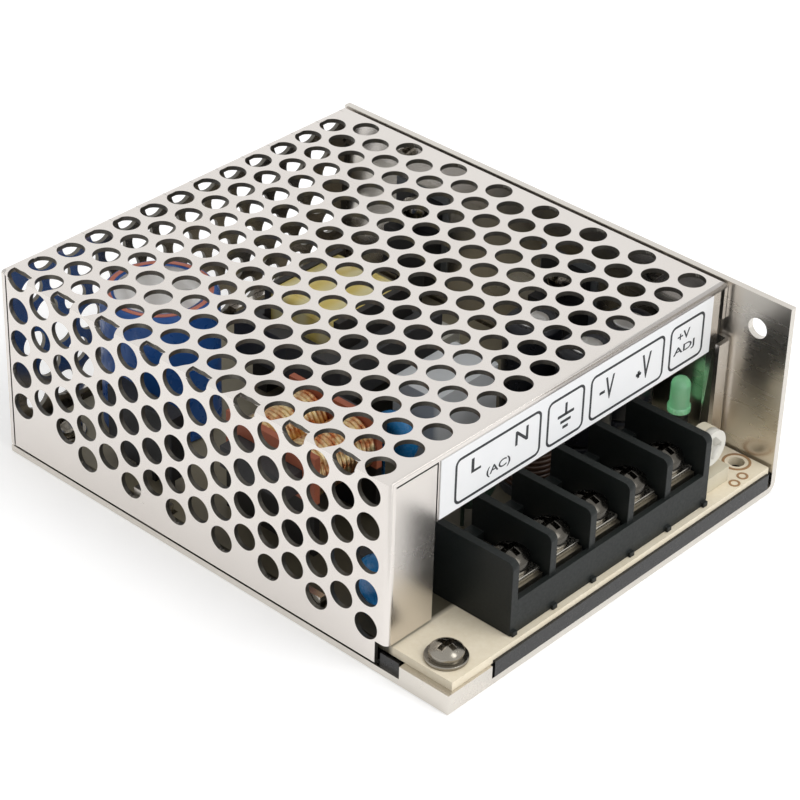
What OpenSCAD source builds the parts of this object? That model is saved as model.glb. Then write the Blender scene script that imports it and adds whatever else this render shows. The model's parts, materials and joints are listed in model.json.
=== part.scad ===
// Enclosed switching power supply with a folded base, a perforated cover and a five-way screw terminal block.
// The terminal end faces -Y, the base's side wall is on +X, and the underside rests on Z = 0.

/* [Case] */
// Length of the case, along Y
case_l = 99; // [96:1:120]
// Width of the case, along X
case_w = 82; // [80:1:110]
// Height of the case
case_h = 36; // [35:0.5:46]

/* [Base sheet] */
// Thickness of the base sheet
base_t = 1.2; // [0.8:0.1:1.5]
// Outside radius of the bend between the floor and the side wall
base_bend = 2; // [1.7:0.1:2.6]
// Height from the floor's top to the underside of the circuit board
board_lift = 2.4; // [2.2:0.1:3]
// Side of the raised corner pad at the front
pad_w = 10; // [9:0.5:11]
// Diameter of the fixing hole in the ear at the terminal end
ear_hole_d = 3.7; // [3:0.1:4.5]
// Distance of the ear hole from the front edge
ear_hole_in = 6.1; // [4:0.1:8]
// Height of the ear hole above the underside
ear_hole_z = 29.8; // [26:0.1:31]
// Diameter of the fixing holes in the floor
mount_hole_d = 3.2; // [2.5:0.1:4]
// Spacing of the floor's fixing holes along X
mount_x = 46; // [42:1:50]
// Spacing of the floor's fixing holes along Y
mount_y = 62; // [56:1:66]
// Width of the upturned lugs that the cover slides over
lug_w = 8; // [5:1:10]
// Height of the lugs above the floor
lug_h = 5.5; // [5:0.5:7]

/* [Cover sheet] */
// Thickness of the cover sheet
cover_t = 0.8; // [0.5:0.1:0.9]
// Outside radius of the cover's bends
cover_bend = 1.1; // [1:0.1:1.6]
// Depth of the open terminal bay in front of the cover
bay_d = 12.6; // [12:0.1:13]
// Height of the front flap that carries the label
flap_h = 12; // [11.5:0.5:12.5]
// Width of the front flange at the corner away from the side wall
flange_w = 10; // [8:0.5:10.5]
// Height of the cover's lower edge above the underside
cover_foot = 1.6; // [1.5:0.1:2.4]
// Length of the notch in the lower front corner of the left wall
notch_l = 2.5; // [1.5:0.1:4]
// Depth of the lip inside the side wall, below the top
lip_h = 7; // [6:0.5:9]
// How far the lip's front tongue stands out of the flap
tongue_out = 2; // [1:0.1:2.5]
// Height of the tongue's lower end above the underside
tongue_foot = 7; // [6.8:0.1:9]
// Height of the tongue's upper end above the underside
tongue_top = 26; // [25:0.5:28]
// Width of the tongue's front edge, folded in towards the terminals
tongue_fold = 3.6; // [2:0.1:4]
// Width of the slits where folded walls meet
seam = 0.3; // [0.2:0.05:0.5]
// Width of the slit between the front flap and the side wall
flap_slit = 1; // [0.3:0.1:1.4]

/* [Perforation] */
// Diameter of the punched holes
vent_d = 4.7; // [3:0.1:5]
// Spacing of the holes within a row
vent_pitch = 6.19; // [5.9:0.01:7]
// Spacing of the staggered rows
vent_row = 5.21; // [5.1:0.01:6.2]
// Distance from the cover's front to the first row
vent_front = 4.44; // [3.6:0.01:5.5]
// Distance from the left fold to the first hole of an even row
vent_side = 2.42; // [2.3:0.01:2.6]
// Plain margin kept from a hole's centre to the sheet's edges
vent_margin = 3; // [2.9:0.1:4]

/* [Circuit board] */
// Thickness of the circuit board
board_t = 1.6; // [1.2:0.1:1.8]
// Gap between the board's edges and the walls
board_gap = 0.5; // [0.3:0.1:0.8]
// Diameter of the board's fixing holes
board_hole_d = 3.3; // [3.2:0.1:3.6]
// Distance of the fixing holes from the outer faces
board_hole_in = 5.2; // [5:0.1:6]
// Thickness of the black insulating sheet under the board
film_t = 0.5; // [0.3:0.1:0.6]

/* [Terminal block] */
// Spacing of the five ways
way = 9.5; // [9:0.1:9.6]
// Thickness of the barriers between ways
barrier_t = 1.5; // [1:0.1:1.7]
// Distance of the block's front face from the case's front edge
block_in = 1.6; // [1.2:0.1:2]
// Depth of the block
block_d = 16.6; // [16:0.1:18]
// Thickness of the block's back wall
block_rear = 2.7; // [2:0.1:3]
// Height of the barriers above the board
barrier_h = 13.6; // [12:0.1:15]
// Height of the low front wall above the board
sill_h = 6.3; // [6:0.1:6.5]
// Thickness of the low front wall
sill_t = 1; // [0.8:0.1:1.2]
// Height of the block's back wall above its front wall
rear_rise = 1.5; // [0.5:0.1:5]
// Radius of the barriers' rounded front corner
barrier_r = 1.2; // [0.6:0.1:4]
// Sideways offset of the block's middle from the case's middle
block_x = -0.9; // [-2:0.1:-0.7]
// Distance of the screws' axis from the block's front face
screw_in = 5.6; // [5.5:0.1:5.8]
// Diameter of the terminal screws' shanks
screw_d = 3.4; // [3:0.1:3.6]
// Head diameter of the terminal screws
head_d = 6.8; // [6:0.1:7]
// Head height of the terminal screws
head_h = 2.8; // [2.4:0.1:3]
// Side of the square clamp washers
clamp_w = 7; // [6:0.1:7.1]
// Thickness of the square clamp washers
clamp_t = 1; // [0.8:0.1:1.2]
// Running clearance round the terminal screws and the trimmer's rotor
run_gap = 0.08; // [0.05:0.01:0.1]

/* [Large components] */
// Diameter of the bulk capacitor
bulk_d = 20; // [16:1:21]
// Height of the bulk capacitor above the board
bulk_h = 25; // [20:1:25]
// Side of the transformer's square core
core_w = 25; // [23:1:26]
// Height of the transformer's core
core_h = 7.5; // [6:0.5:8]
// Diameter of the line filter's two coils
coil_d = 9.6; // [8:0.2:10]
// Diameter of the copper wire on the coils
wire_d = 0.9; // [0.7:0.1:1.2]
// Width of the line capacitor's box
box_cap_w = 15.5; // [14:0.5:18.5]
// Depth of the line capacitor's box
box_cap_d = 10; // [7:0.5:10.5]
// Height of the line capacitor's box
box_cap_h = 16; // [12:0.5:18]
// Diameter of the output capacitors
out_cap_d = 10; // [8:0.5:10.4]
// Height of the output capacitors
out_cap_h = 20; // [16:1:24]

/* [Hidden] */
$fn = 40;
eps = 0.01;
touch = 0.02;
slack = 0.1;

left = -case_w / 2;
right = case_w / 2;
front = -case_l / 2;
back = case_l / 2;
wall_in = right - base_t;
floor_z = base_t;
board_z = floor_z + board_lift;
deck = board_z + board_t;

// Faces of the folded cover
cover_right = wall_in - slack;
cover_front = front + bay_d;
cover_left_in = left + cover_t;
cover_back_in = back - cover_t;
flap_foot = case_h - flap_h;
flange_foot = deck + board_gap;
slit_x = left + flange_w;
fold_loss = 0.16;
tongue_back = cover_front + 3 * cover_t;

// Edges of the circuit board, which stands behind the film's turned-up front
board_front = front + film_t;
board_left = cover_left_in + board_gap;
board_right = wall_in - board_gap;
board_back = cover_back_in - base_t - 2 * board_gap;

// Raised pads and the board screws on them
tap_d = 2.6;
post_left = left + board_hole_in;
post_right = wall_in - board_hole_in;
post_front = front + board_hole_in;
post_back = board_back - board_hole_in;
posts = [[post_left, post_front], [post_left, post_back], [post_right, post_back]];
inner_pad = 2 * (board_hole_in - cover_t - 2 * slack);
spare_hole_in = [3, 5.3];
spare_hole_d = 2.8;

// Upturned lugs that locate the cover
lug_x = cover_left_in + slack;
lug_y = cover_back_in - slack;
side_lugs = [-18, 16];
back_lugs = [-24, 14];

// Fasteners through the side wall
cover_screws_y = [cover_front + 14, back - 16];
cover_screw_z = case_h - lip_h / 2;
countersink_d = 5.4;
cover_screw_l = 2.4;
m3_d = 2.5;
m3_clear = 3.2;
m3_head_d = 5.6;
m3_head_h = 2.2;
m3_slot = 0.9;
washer_t = 0.6;
washer_d = 7;

// Terminal block
ways = 5;
block_w = ways * way + barrier_t;
block_left = block_x - block_w / 2;
block_front = front + block_in;
block_back = block_front + block_d;
sill_top = deck + sill_h;
barrier_top = deck + barrier_h;
contact_t = 1;
seat_z = sill_top - 0.7;
barrier_step = 0.5;
foot_out = 0.5;
foot_h = 0.9;
foot_in = 0.2;
contact_top = seat_z + contact_t;
contact_w = way - barrier_t - 0.8;
collar_d = 6;
collar_h = 2.6;
screw_y = block_front + screw_in;
clamp_z = contact_top + touch;
spring_z = clamp_z + clamp_t + touch;
spring_t = 0.9;
head_z = spring_z + spring_t + touch;
shank_foot = deck + 1.4;
pin_y = block_back - block_rear - 1;
pin_w = 1.2;
pin_hole_d = 2;
pin_foot = board_z - 1;
function way_x(i) = block_x + (i - (ways - 1) / 2) * way;

// Label on the flap
label_t = 0.15;
label_left = slit_x + 0.7;
label_right = cover_right - 3.9;
label_margin = 0.25;

// Upright trimmer and lamp beside the terminal block
trim_w = 6.8;
trim_foot_d = 4.6;
trim_foot_h = 2.8;
trim_t = 1.8;
rotor_d = 6.6;
rotor_t = 1.4;
rotor_rise = 7.1;
hub_d = 2.6;
hub_in = 1;
slot_l = 4.4;
slot_w = 0.8;
slot_deep = 0.8;
trim_x = block_left + block_w + 1.4 + trim_w / 2;
rotor_front = front + 4.5;
trim_face = rotor_front + rotor_t + run_gap;
trim_back = trim_face + trim_t;
rotor_z = deck + touch + rotor_rise;
lamp_d = 3.4;
lamp_rim = 0.3;
lamp_x = wall_in - 3.4;
lamp_y = cover_front + 5.1;
lamp_foot = deck + 4.9;
lamp_h = 6.6;

// Power devices held to the side wall, set down from the lip above them
pad_t = 0.3;
pad_edge = 1.2;
tab_t = 1.3;
tab_h = 15.8;
tab_hole_in = 2.8;
device_t = 4.4;
device_w = 10;
device_body_h = 9.2;
device_top = case_h - lip_h - 3.4;
device_foot = device_top - tab_h;
device_hole_z = device_top - tab_hole_in;
devices_y = [cover_front + 32.9, back - 19.5];
tab_face = wall_in - touch - pad_t - touch;
device_room = 5;
leg_pitch = 2.54;
leg_w = 0.8;
leg_t = 0.5;

// Line filter: two coils side by side on a square ring
coil_l = 13;
coil_gap = coil_d + 0.4;
ring_t = 4;
filter_flange = 1.2;
filter_tube = 0.6;
filter_lift = 8.4;
filter_mid = deck + filter_lift + coil_d / 2;
filter_half = [coil_l / 2 + filter_flange + slack + ring_t, (coil_gap + coil_d) / 2];

// Transformer: winding between two E-shaped core halves
core_back = 3.7;
core_leg = 7.5;
core_side = 3.2;
core_lift = 2.6;
bobbin_flange = 1.2;
bobbin_rail = 3.4;
winding_build = 5.6;
winding_step = 0.3;
winding_r = 1.6;
winding_w = core_w - 2 * core_side - 0.6;
winding_h = core_h + 2 * winding_build;
winding_l = core_w - 2 * core_back - 2 * bobbin_flange - 0.4;
core_mid = deck + core_lift + winding_h / 2;
tube_t = 0.8;

// Round parts and small parts
disc_d = 9;
disc_t = 3.6;
thermistor_d = 9.6;
thermistor_t = 4.2;
thermistor_lift = 2.6;
inductor_d = 10;
inductor_h = 12;
drum_post = 4;
drum_rim = 1.6;
fuse_size = [8.4, 4.2, 7.6];
bridge_size = [3.6, 15, 12];
bridge_lift = 3;
bridge_pitch = 3.8;
bridge_in = 6.2;
coupler_in = [12.5, 34];
controller_in = [18, 10.5];
coupler_size = [4.6, 6.4];
controller_size = [9.6, 6.4];
chip_h = 3.4;
chip_lift = 0.8;
pin_t = 0.6;
lead_d = 0.7;
cap_gap = 1;
cap_row_gap = 1.6;

// Places of the components, in columns from the two walls and rows from the front and the back
bulk_at = [left + 10 + bulk_d / 2, back - 6 - bulk_d / 2];
filter_at = [left + 5.2 + filter_half[0], cover_front + 24.4 + filter_half[1]];
cap_x = wall_in - 1.8 - out_cap_d / 2;
cap_step = out_cap_d + cap_gap;
cap_y = cover_front + 9.4 + out_cap_d / 2;
out_caps = [[cap_x - cap_step, cap_y], [cap_x, cap_y], [cap_x - cap_step, cap_y + out_cap_d + cap_row_gap]];
caps_left = cap_x - cap_step - out_cap_d / 2;
filter_right = filter_at[0] + filter_half[0];
disc_room = disc_t + 1;
disc_caps = [[left + 4.6, cover_front + 5.9, 3], [filter_right + disc_room / 2, filter_at[1] - 6.8, 6.5]];
row_left = left + 25.8;
row_y = cover_front + 13.4;
row_gap = (caps_left - row_left - thermistor_d - inductor_d) / 3;
thermistor_at = [row_left + row_gap + thermistor_d / 2, row_y];
inductor_at = [caps_left - row_gap - inductor_d / 2, row_y];
fuse_at = [left + 11.5, cover_front + 11.5];
bulk_right = bulk_at[0] + bulk_d / 2;
transformer_room = wall_in - device_room - bulk_right - core_w;
transformer_at = [bulk_right + 0.18 * transformer_room + core_w / 2, back - 19.2 - core_w / 2];
box_cap_front = row_y + inductor_d / 2;
box_cap_room = transformer_at[1] - core_w / 2 - box_cap_front - box_cap_d;
box_cap_at = [
  (filter_right + disc_room + caps_left) / 2,
  box_cap_front + 0.46 * box_cap_room + box_cap_d / 2
];
bridge_at = [left + bridge_in, (filter_at[1] + filter_half[1] + post_back - washer_d / 2) / 2];
coupler_at = [right - coupler_in[0], back - coupler_in[1]];
controller_at = [right - controller_in[0], back - controller_in[1]];

// A plain box given by two opposite corners
module span(a, b) {
  translate(a)
    cube(b - a);
}

// A box with round upright edges, standing centred on the origin
module round_block(size, r) {
  w = size[0];
  d = size[1];
  translate([-w / 2 + r, -d / 2, 0])
    cube([w - 2 * r, d, size[2]]);
  translate([-w / 2, -d / 2 + r, 0])
    cube([w, d - 2 * r, size[2]]);
  for (x = [r - w / 2, w / 2 - r], y = [r - d / 2, d / 2 - r])
    translate([x, y, 0])
      cylinder(h = size[2], r = r);
}

// A closed outline with its two upper corners rounded, from the origin to [w, h]
module round_top(w, h, r) {
  square([w, h - r]);
  translate([r, 0])
    square([w - 2 * r, h]);
  for (x = [r, w - r])
    translate([x, h - r])
      circle(r);
}

// Lays an outline drawn in X and Z along Y, from y0 to y1
module along_y(y0, y1) {
  translate([0, y1, 0])
    rotate([90, 0, 0])
      linear_extrude(y1 - y0)
        children();
}

// Lays an outline drawn in Y and Z along X, from x0 to x1
module along_x(x0, x1) {
  translate([x0, 0, 0])
    rotate([90, 0, 90])
      linear_extrude(x1 - x0)
        children();
}

// A round rod along X, from x0 to x1
module rod_x(x0, x1, y, z, d) {
  translate([x0, y, z])
    rotate([0, 90, 0])
      cylinder(h = x1 - x0, d = d);
}

// A round rod along Y, from y0 to y1
module rod_y(y0, y1, x, z, d) {
  translate([x, y1, z])
    rotate([90, 0, 0])
      cylinder(h = y1 - y0, d = d);
}

// A quarter bend of sheet t thick round the origin, in the quadrant of positive X and negative Y
module bend(r, t) {
  intersection() {
    difference() {
      circle(r);
      circle(r - t);
    }
    translate([0, -r])
      square(r);
  }
}

// Section of the folded base: floor, bend and side wall
module base_section() {
  translate([left, 0])
    square([case_w - base_bend, base_t]);
  translate([wall_in, base_bend])
    square([base_t, case_h - base_bend]);
  translate([right - base_bend, base_bend])
    bend(base_bend, base_t);
}

// Lower and upper corner of each raised pad, seen from above
half_pad = [inner_pad / 2, inner_pad / 2];
pads = [
  [[left, front], [left + pad_w, front + pad_w]],
  [posts[1] - half_pad, posts[1] + half_pad],
  [posts[2] - half_pad, posts[2] + half_pad]
];

// A box over a pad's outline, grown sideways by grow
module pad_box(pad, grow, z0, z1) {
  span([pad[0][0] - grow, pad[0][1] - grow, z0], [pad[1][0] + grow, pad[1][1] + grow, z1]);
}

// The folded sheet that carries everything: floor, side wall with its ear, raised pads and upturned lugs
module base_chassis() {
  color("silver")
    difference() {
      union() {
        along_y(front, back)
          base_section();
        for (pad = pads)
          pad_box(pad, 0, 0, board_z);
        for (y = side_lugs)
          span([lug_x, y - lug_w / 2, 0], [lug_x + base_t, y + lug_w / 2, floor_z + lug_h]);
        for (x = back_lugs)
          span([x - lug_w / 2, lug_y - base_t, 0], [x + lug_w / 2, lug_y, floor_z + lug_h]);
      }
      // hollow under each pad, and its tapped hole
      for (pad = pads)
        pad_box(pad, -base_t, -1, board_z - base_t);
      for (p = posts)
        translate([p[0], p[1], -1])
          cylinder(h = board_z + 2, d = tap_d);
      // windows that the lugs were bent out of
      for (y = side_lugs)
        span([lug_x + base_t, y - lug_w / 2, -1], [lug_x + base_t + lug_h, y + lug_w / 2, floor_z + 1]);
      for (x = back_lugs)
        span([x - lug_w / 2, lug_y - base_t - lug_h, -1], [x + lug_w / 2, lug_y - base_t, floor_z + 1]);
      // fixing holes of the floor and the ear
      for (x = [-mount_x / 2, mount_x / 2], y = [-mount_y / 2, mount_y / 2])
        translate([x, y, -1])
          cylinder(h = base_t + 2, d = mount_hole_d);
      rod_x(wall_in - 1, right + 1, front + ear_hole_in, ear_hole_z, ear_hole_d);
      // countersunk holes for the cover screws, and tapped holes for the power devices
      for (y = cover_screws_y)
        translate([wall_in - eps, y, cover_screw_z])
          rotate([0, 90, 0])
            cylinder(h = base_t + 2 * eps, d1 = m3_clear, d2 = countersink_d + 2 * slack);
      for (y = devices_y)
        rod_x(wall_in - 1, right + 1, y, device_hole_z, tap_d);
    }
}

// The space inside the cover's outer faces, shrunk by a sheet thickness where that is asked for
module cover_block(inset) {
  x0 = left + inset;
  x1 = cover_right - inset;
  y0 = cover_front + inset;
  y1 = back - inset;
  h = case_h - inset;
  r = cover_bend - inset;
  intersection() {
    along_y(y0, y1)
      translate([x0, 0])
        round_top(x1 - x0, h, r);
    along_x(x0, x1)
      translate([y0, 0])
        round_top(y1 - y0, h, r);
    // the upright fold between the left wall and the front flange
    union() {
      span([x0 + r, y0, 0], [x1, y1, h]);
      span([x0, y0 + r, 0], [x1, y1, h]);
      translate([x0 + r, y0 + r, 0])
        cylinder(h = h, r = r);
    }
  }
}

// How far below the left fold the first hole of an even row lies, and how the rows are set out
vent_drop = vent_pitch - vent_side - fold_loss;
vent_rows = floor((back - cover_front - vent_front - vent_margin) / vent_row) + 1;
punch = 3 * cover_t;
function vent_y(row) = cover_front + vent_front + row * vent_row;
function stagger(row) = (row % 2) * vent_pitch / 2;
function holes_up_to(room) = floor(room / vent_pitch) + 1;

// Punched holes of the top, row by row, each row shifted by half a pitch from the last
module top_vents() {
  for (row = [0 : vent_rows - 1]) {
    x0 = left + vent_side + stagger(row);
    for (i = [0 : holes_up_to(cover_right - vent_margin - x0) - 1])
      translate([x0 + i * vent_pitch, vent_y(row), case_h - 2 * cover_t])
        cylinder(h = punch, d = vent_d);
  }
}

// Holes that lie across the left fold, where the pattern runs on from the top to the wall
module fold_vents() {
  past_fold = vent_pitch / 2 - vent_side;
  for (row = [1 : 2 : vent_rows - 1]) {
    translate([left - past_fold, vent_y(row), case_h - 2 * cover_t])
      cylinder(h = punch, d = vent_d);
    rod_x(left - cover_t, left + 2 * cover_t, vent_y(row), case_h - past_fold + fold_loss, vent_d);
  }
}

// Holes that lie across the back fold, where the next row runs on from the top to the back wall
module back_fold_vents() {
  past_fold = vent_y(vent_rows) - back;
  x0 = left + vent_side + stagger(vent_rows) + (stagger(vent_rows) > 0 ? 0 : vent_pitch);
  for (i = [0 : holes_up_to(cover_right - vent_margin - x0) - 1]) {
    x = x0 + i * vent_pitch;
    translate([x, back + past_fold, case_h - 2 * cover_t])
      cylinder(h = punch, d = vent_d);
    rod_y(cover_back_in - cover_t, back + cover_t, x, case_h - past_fold + fold_loss, vent_d);
  }
}

// Punched holes of the left wall, in columns under the top's rows, one fewer near the back corner
module wall_vents() {
  for (row = [0 : vent_rows - 1]) {
    z0 = case_h - vent_drop - stagger(row);
    count = holes_up_to(z0 - cover_foot - vent_margin);
    kept = row == vent_rows - 2 ? count - 1 : count;
    for (i = [0 : kept - 1])
      rod_x(left - cover_t, left + 2 * cover_t, vent_y(row), z0 - i * vent_pitch, vent_d);
  }
}

// Punched holes of the back wall, which carry the rows on below the back fold
module back_vents() {
  first = vent_rows + 1;
  z0 = case_h + fold_loss - (vent_y(first) - back);
  rows = floor((z0 - cover_foot - vent_margin) / vent_row) + 1;
  for (k = [0 : rows - 1]) {
    x0 = left + vent_side + stagger(first + k) + (stagger(first + k) > 0 ? 0 : vent_pitch);
    for (i = [0 : holes_up_to(cover_right - vent_margin - x0) - 1])
      rod_y(cover_back_in - cover_t, back + cover_t, x0 + i * vent_pitch, z0 - k * vent_row, vent_d);
  }
}

// Section of the tongue seen from above, with its front edge bent in towards the terminals
module tongue_section() {
  bend_x = cover_right - cover_bend;
  bend_y = cover_front - tongue_out + cover_bend;
  translate([cover_right - cover_t, bend_y])
    square([cover_t, tongue_back - bend_y]);
  translate([cover_right - tongue_fold, cover_front - tongue_out])
    square([tongue_fold - cover_bend, cover_t]);
  translate([bend_x, bend_y])
    bend(cover_bend, cover_t);
}

// The folded shell before punching: top, left and back walls, front flange and flap, and the side lip
module cover_shell() {
  inside = cover_front + cover_t + eps;
  lip_in = cover_right - cover_t;
  difference() {
    cover_block(0);
    cover_block(cover_t);
    // open underside
    span([left - 1, front, -1], [cover_right + 1, back + 1, cover_foot]);
    // mouth under the flap, and the slits at its two ends
    span([slit_x, cover_front - 1, -1], [lip_in, inside, flap_foot]);
    span([slit_x, cover_front - 1, -1], [slit_x + seam, inside, case_h - cover_bend]);
    span([lip_in - flap_slit, cover_front - 1, -1], [lip_in, inside, case_h - cover_bend]);
    // foot of the flange, and the seam above it
    span([left - 1, cover_front - 1, -1], [slit_x + eps, inside, flange_foot]);
    span(
      [left + cover_bend, cover_front - 1, case_h - cover_bend - seam],
      [slit_x + eps, inside, case_h - cover_bend]
    );
    // notch in the lower front corner of the left wall
    span([left - 1, cover_front - 1, -1], [cover_left_in + cover_bend, cover_front + notch_l, flange_foot]);
    // seams at the two ends of the back wall
    span([left - 1, cover_back_in - seam, -1], [cover_left_in + eps, cover_back_in, case_h - cover_bend]);
    span([lip_in - eps, cover_back_in - seam, -1], [cover_right + 1, cover_back_in, case_h - cover_bend]);
    // lower edge of the lip
    span([lip_in - eps, cover_front - 1, -1], [cover_right + 1, cover_back_in - seam, case_h - lip_h]);
  }
  // front tongue of the lip, which lies against the ear, and the strip that joins it to the lip
  translate([0, 0, tongue_foot])
    linear_extrude(tongue_top - tongue_foot)
      tongue_section();
  span([lip_in, cover_front + cover_t, tongue_foot], [cover_right, tongue_back, case_h - lip_h + 1]);
}

module cover() {
  color("gainsboro")
    difference() {
      cover_shell();
      top_vents();
      fold_vents();
      back_fold_vents();
      wall_vents();
      back_vents();
      for (y = cover_screws_y)
        rod_x(cover_right - 2 * cover_t, cover_right + 1, y, cover_screw_z, tap_d);
    }
}

// Countersunk screws that hold the cover's lip to the side wall
module cover_screws() {
  color("lightgray")
    for (y = cover_screws_y)
      translate([wall_in, y, cover_screw_z])
        rotate([0, 90, 0])
          difference() {
            union() {
              cylinder(h = base_t, d1 = m3_d + 2 * slack, d2 = countersink_d);
              translate([0, 0, -cover_screw_l])
                cylinder(h = cover_screw_l + eps, d = m3_d);
            }
            for (a = [0, 90])
              rotate(a)
                translate([-1.3, -0.25, base_t - 0.7])
                  cube([2.6, 0.5, 1]);
          }
}

// Black film on the floor, turned up in front of the board and at the open left corner
module insulating_sheet() {
  film_top = floor_z + touch + film_t;
  film_right = right - base_bend - slack;
  edge = 0.6;
  lip_top = board_z - slack;
  color("#181818")
    difference() {
      union() {
        span([cover_left_in + 2 * slack, front, floor_z + touch], [film_right, board_back, film_top]);
        span([left + pad_w + edge, front, floor_z + touch], [film_right, board_front - touch, deck - slack]);
        span(
          [left + edge, front + pad_w + edge, floor_z + touch],
          [left + edge + film_t, cover_front + notch_l - edge, lip_top]
        );
      }
      for (pad = pads)
        pad_box(pad, edge, 0, board_z + 1);
      for (y = side_lugs)
        span([left, y - lug_w / 2 - edge, 0], [lug_x + base_t + edge, y + lug_w / 2 + edge, board_z]);
      for (x = [-mount_x / 2, mount_x / 2], y = [-mount_y / 2, mount_y / 2])
        translate([x, y, 0])
          cylinder(h = board_z, d = mount_hole_d + 2 * edge);
    }
}

// Fibre board with its fixing holes, lug notches and terminal pin holes
module circuit_board() {
  color("burlywood")
    difference() {
      span([board_left, board_front, board_z + touch], [board_right, board_back, deck]);
      for (p = posts)
        translate([p[0], p[1], board_z - 1])
          cylinder(h = board_t + 2, d = board_hole_d);
      translate([wall_in - spare_hole_in[0], front + spare_hole_in[1], board_z - 1])
        cylinder(h = board_t + 2, d = spare_hole_d);
      for (i = [0 : ways - 1])
        translate([way_x(i), pin_y, board_z - 1])
          cylinder(h = board_t + 2, d = pin_hole_d);
      for (y = side_lugs)
        span(
          [board_left - 1, y - lug_w / 2 - board_gap, board_z - 1],
          [lug_x + base_t + board_gap, y + lug_w / 2 + board_gap, deck + 1]
        );
    }
}

// Round washers under the board screws
module board_washers() {
  color("lightgray")
    for (p = posts)
      translate([p[0], p[1], deck + touch])
        difference() {
          cylinder(h = washer_t, d = washer_d);
          translate([0, 0, -1])
            cylinder(h = washer_t + 2, d = m3_clear);
        }
}

// A domed screw head with a crossed recess, standing on the origin
module domed_head(d, h, slot) {
  rise = h * 0.55;
  ball = (d * d / 4 + rise * rise) / (2 * rise);
  difference() {
    union() {
      cylinder(h = h - rise, d = d);
      intersection() {
        translate([0, 0, h - ball])
          sphere(ball);
        translate([0, 0, h - rise - eps])
          cylinder(h = rise + 2 * eps, d = d);
      }
    }
    for (a = [0, 90])
      rotate(a)
        translate([-d * 0.3, -slot / 2, h - 1.4])
          cube([d * 0.6, slot, 2]);
  }
}

module board_screws() {
  foot = board_z - 2.2;
  seat = deck + 2 * touch + washer_t;
  color("silver")
    for (p = posts)
      translate([p[0], p[1], 0]) {
        translate([0, 0, seat])
          domed_head(m3_head_d, m3_head_h, m3_slot);
        translate([0, 0, foot])
          cylinder(h = seat - foot + eps, d = m3_d);
      }
}

// Printed strip on the flap over the terminals
module terminal_label() {
  color("whitesmoke")
    span(
      [label_left, cover_front - touch - label_t, flap_foot + label_margin],
      [label_right, cover_front - touch, case_h - cover_bend]
    );
}

// Outline of a barrier, with its upper front corner rounded
module barrier_outline(d) {
  translate([barrier_r, 0])
    square([d - barrier_r, barrier_h]);
  square([d, barrier_h - barrier_r]);
  translate([barrier_r, barrier_h - barrier_r])
    circle(barrier_r);
}

// Black moulding with a barrier each side of every way, and low walls in front and behind
module terminal_body() {
  color("#1c1c1e")
    difference() {
      union() {
        span([block_left, block_front, deck + touch], [block_left + block_w, block_back, seat_z]);
        span([block_left, block_front, deck + touch], [block_left + block_w, block_front + sill_t, sill_top]);
        span(
          [block_left, block_back - block_rear, deck + touch],
          [block_left + block_w, block_back, sill_top + rear_rise]
        );
        for (i = [0 : ways]) {
          set_back = i == 0 || i == ways ? 0 : barrier_step;
          x0 = block_left + i * way;
          translate([0, block_front + set_back, deck + touch])
            along_x(x0, x0 + barrier_t)
              barrier_outline(block_d - set_back);
          // small foot that steadies the block at each barrier
          span(
            [x0 + foot_in, block_front - foot_out, deck + touch],
            [x0 + barrier_t - foot_in, block_front + sill_t, deck + foot_h]
          );
        }
      }
      for (i = [0 : ways - 1]) {
        translate([way_x(i), screw_y, shank_foot - 0.4])
          cylinder(h = barrier_h, d = collar_d + 2 * slack);
        span(
          [way_x(i) - pin_w / 2 - slack, pin_y - pin_w / 2 - slack, deck - 1],
          [way_x(i) + pin_w / 2 + slack, pin_y + pin_w / 2 + slack, barrier_top]
        );
      }
    }
}

// Plated contact of each way: a plate with a tapped collar, and a pin that goes through the board
module terminal_contacts() {
  y0 = block_front + sill_t + 0.6;
  y1 = block_back - block_rear - 0.3;
  color("lightgray")
    for (i = [0 : ways - 1])
      difference() {
        union() {
          span([way_x(i) - contact_w / 2, y0, seat_z + touch], [way_x(i) + contact_w / 2, y1, contact_top]);
          translate([way_x(i), screw_y, seat_z - collar_h])
            cylinder(h = collar_h + contact_t / 2, d = collar_d);
          span(
            [way_x(i) - pin_w / 2, pin_y - pin_w / 2, pin_foot],
            [way_x(i) + pin_w / 2, pin_y + pin_w / 2, contact_top]
          );
        }
        translate([way_x(i), screw_y, seat_z - collar_h - 1])
          cylinder(h = collar_h + contact_t + 2, d = screw_d + 2 * run_gap);
      }
}

// Square clamp washer of one way, with the spring washer that lies on it
module clamp_washer(i) {
  bore = screw_d + 2 * run_gap;
  color("lightgray")
    translate([way_x(i), screw_y, 0]) {
      difference() {
        translate([-clamp_w / 2, -clamp_w / 2, clamp_z])
          cube([clamp_w, clamp_w, clamp_t]);
        translate([0, 0, clamp_z - 1])
          cylinder(h = clamp_t + 2, d = bore);
      }
      difference() {
        translate([0, 0, spring_z])
          cylinder(h = spring_t, d = screw_d + 2.6);
        translate([0, 0, spring_z - 1])
          cylinder(h = spring_t + 2, d = bore);
      }
    }
}

// Terminal screw of one way
module terminal_screw(i) {
  color("gainsboro")
    translate([way_x(i), screw_y, 0]) {
      translate([0, 0, head_z])
        domed_head(head_d, head_h, 1);
      translate([0, 0, shank_foot])
        cylinder(h = head_z - shank_foot + eps, d = screw_d);
    }
}

// Moulded body of the trimmer, with a foot on the board and a round-topped plate behind the rotor
module trimmer_body() {
  color("ivory")
    difference() {
      union() {
        translate([trim_x, trim_back - trim_foot_d / 2, deck + touch])
          round_block([trim_w, trim_foot_d, trim_foot_h], 0.4);
        span([trim_x - trim_w / 2, trim_face, deck + 1], [trim_x + trim_w / 2, trim_back, rotor_z]);
        rod_y(trim_face, trim_back, trim_x, rotor_z, trim_w);
      }
      rod_y(trim_face - 1, trim_face + hub_in + run_gap, trim_x, rotor_z, hub_d + 2 * run_gap);
    }
}

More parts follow.
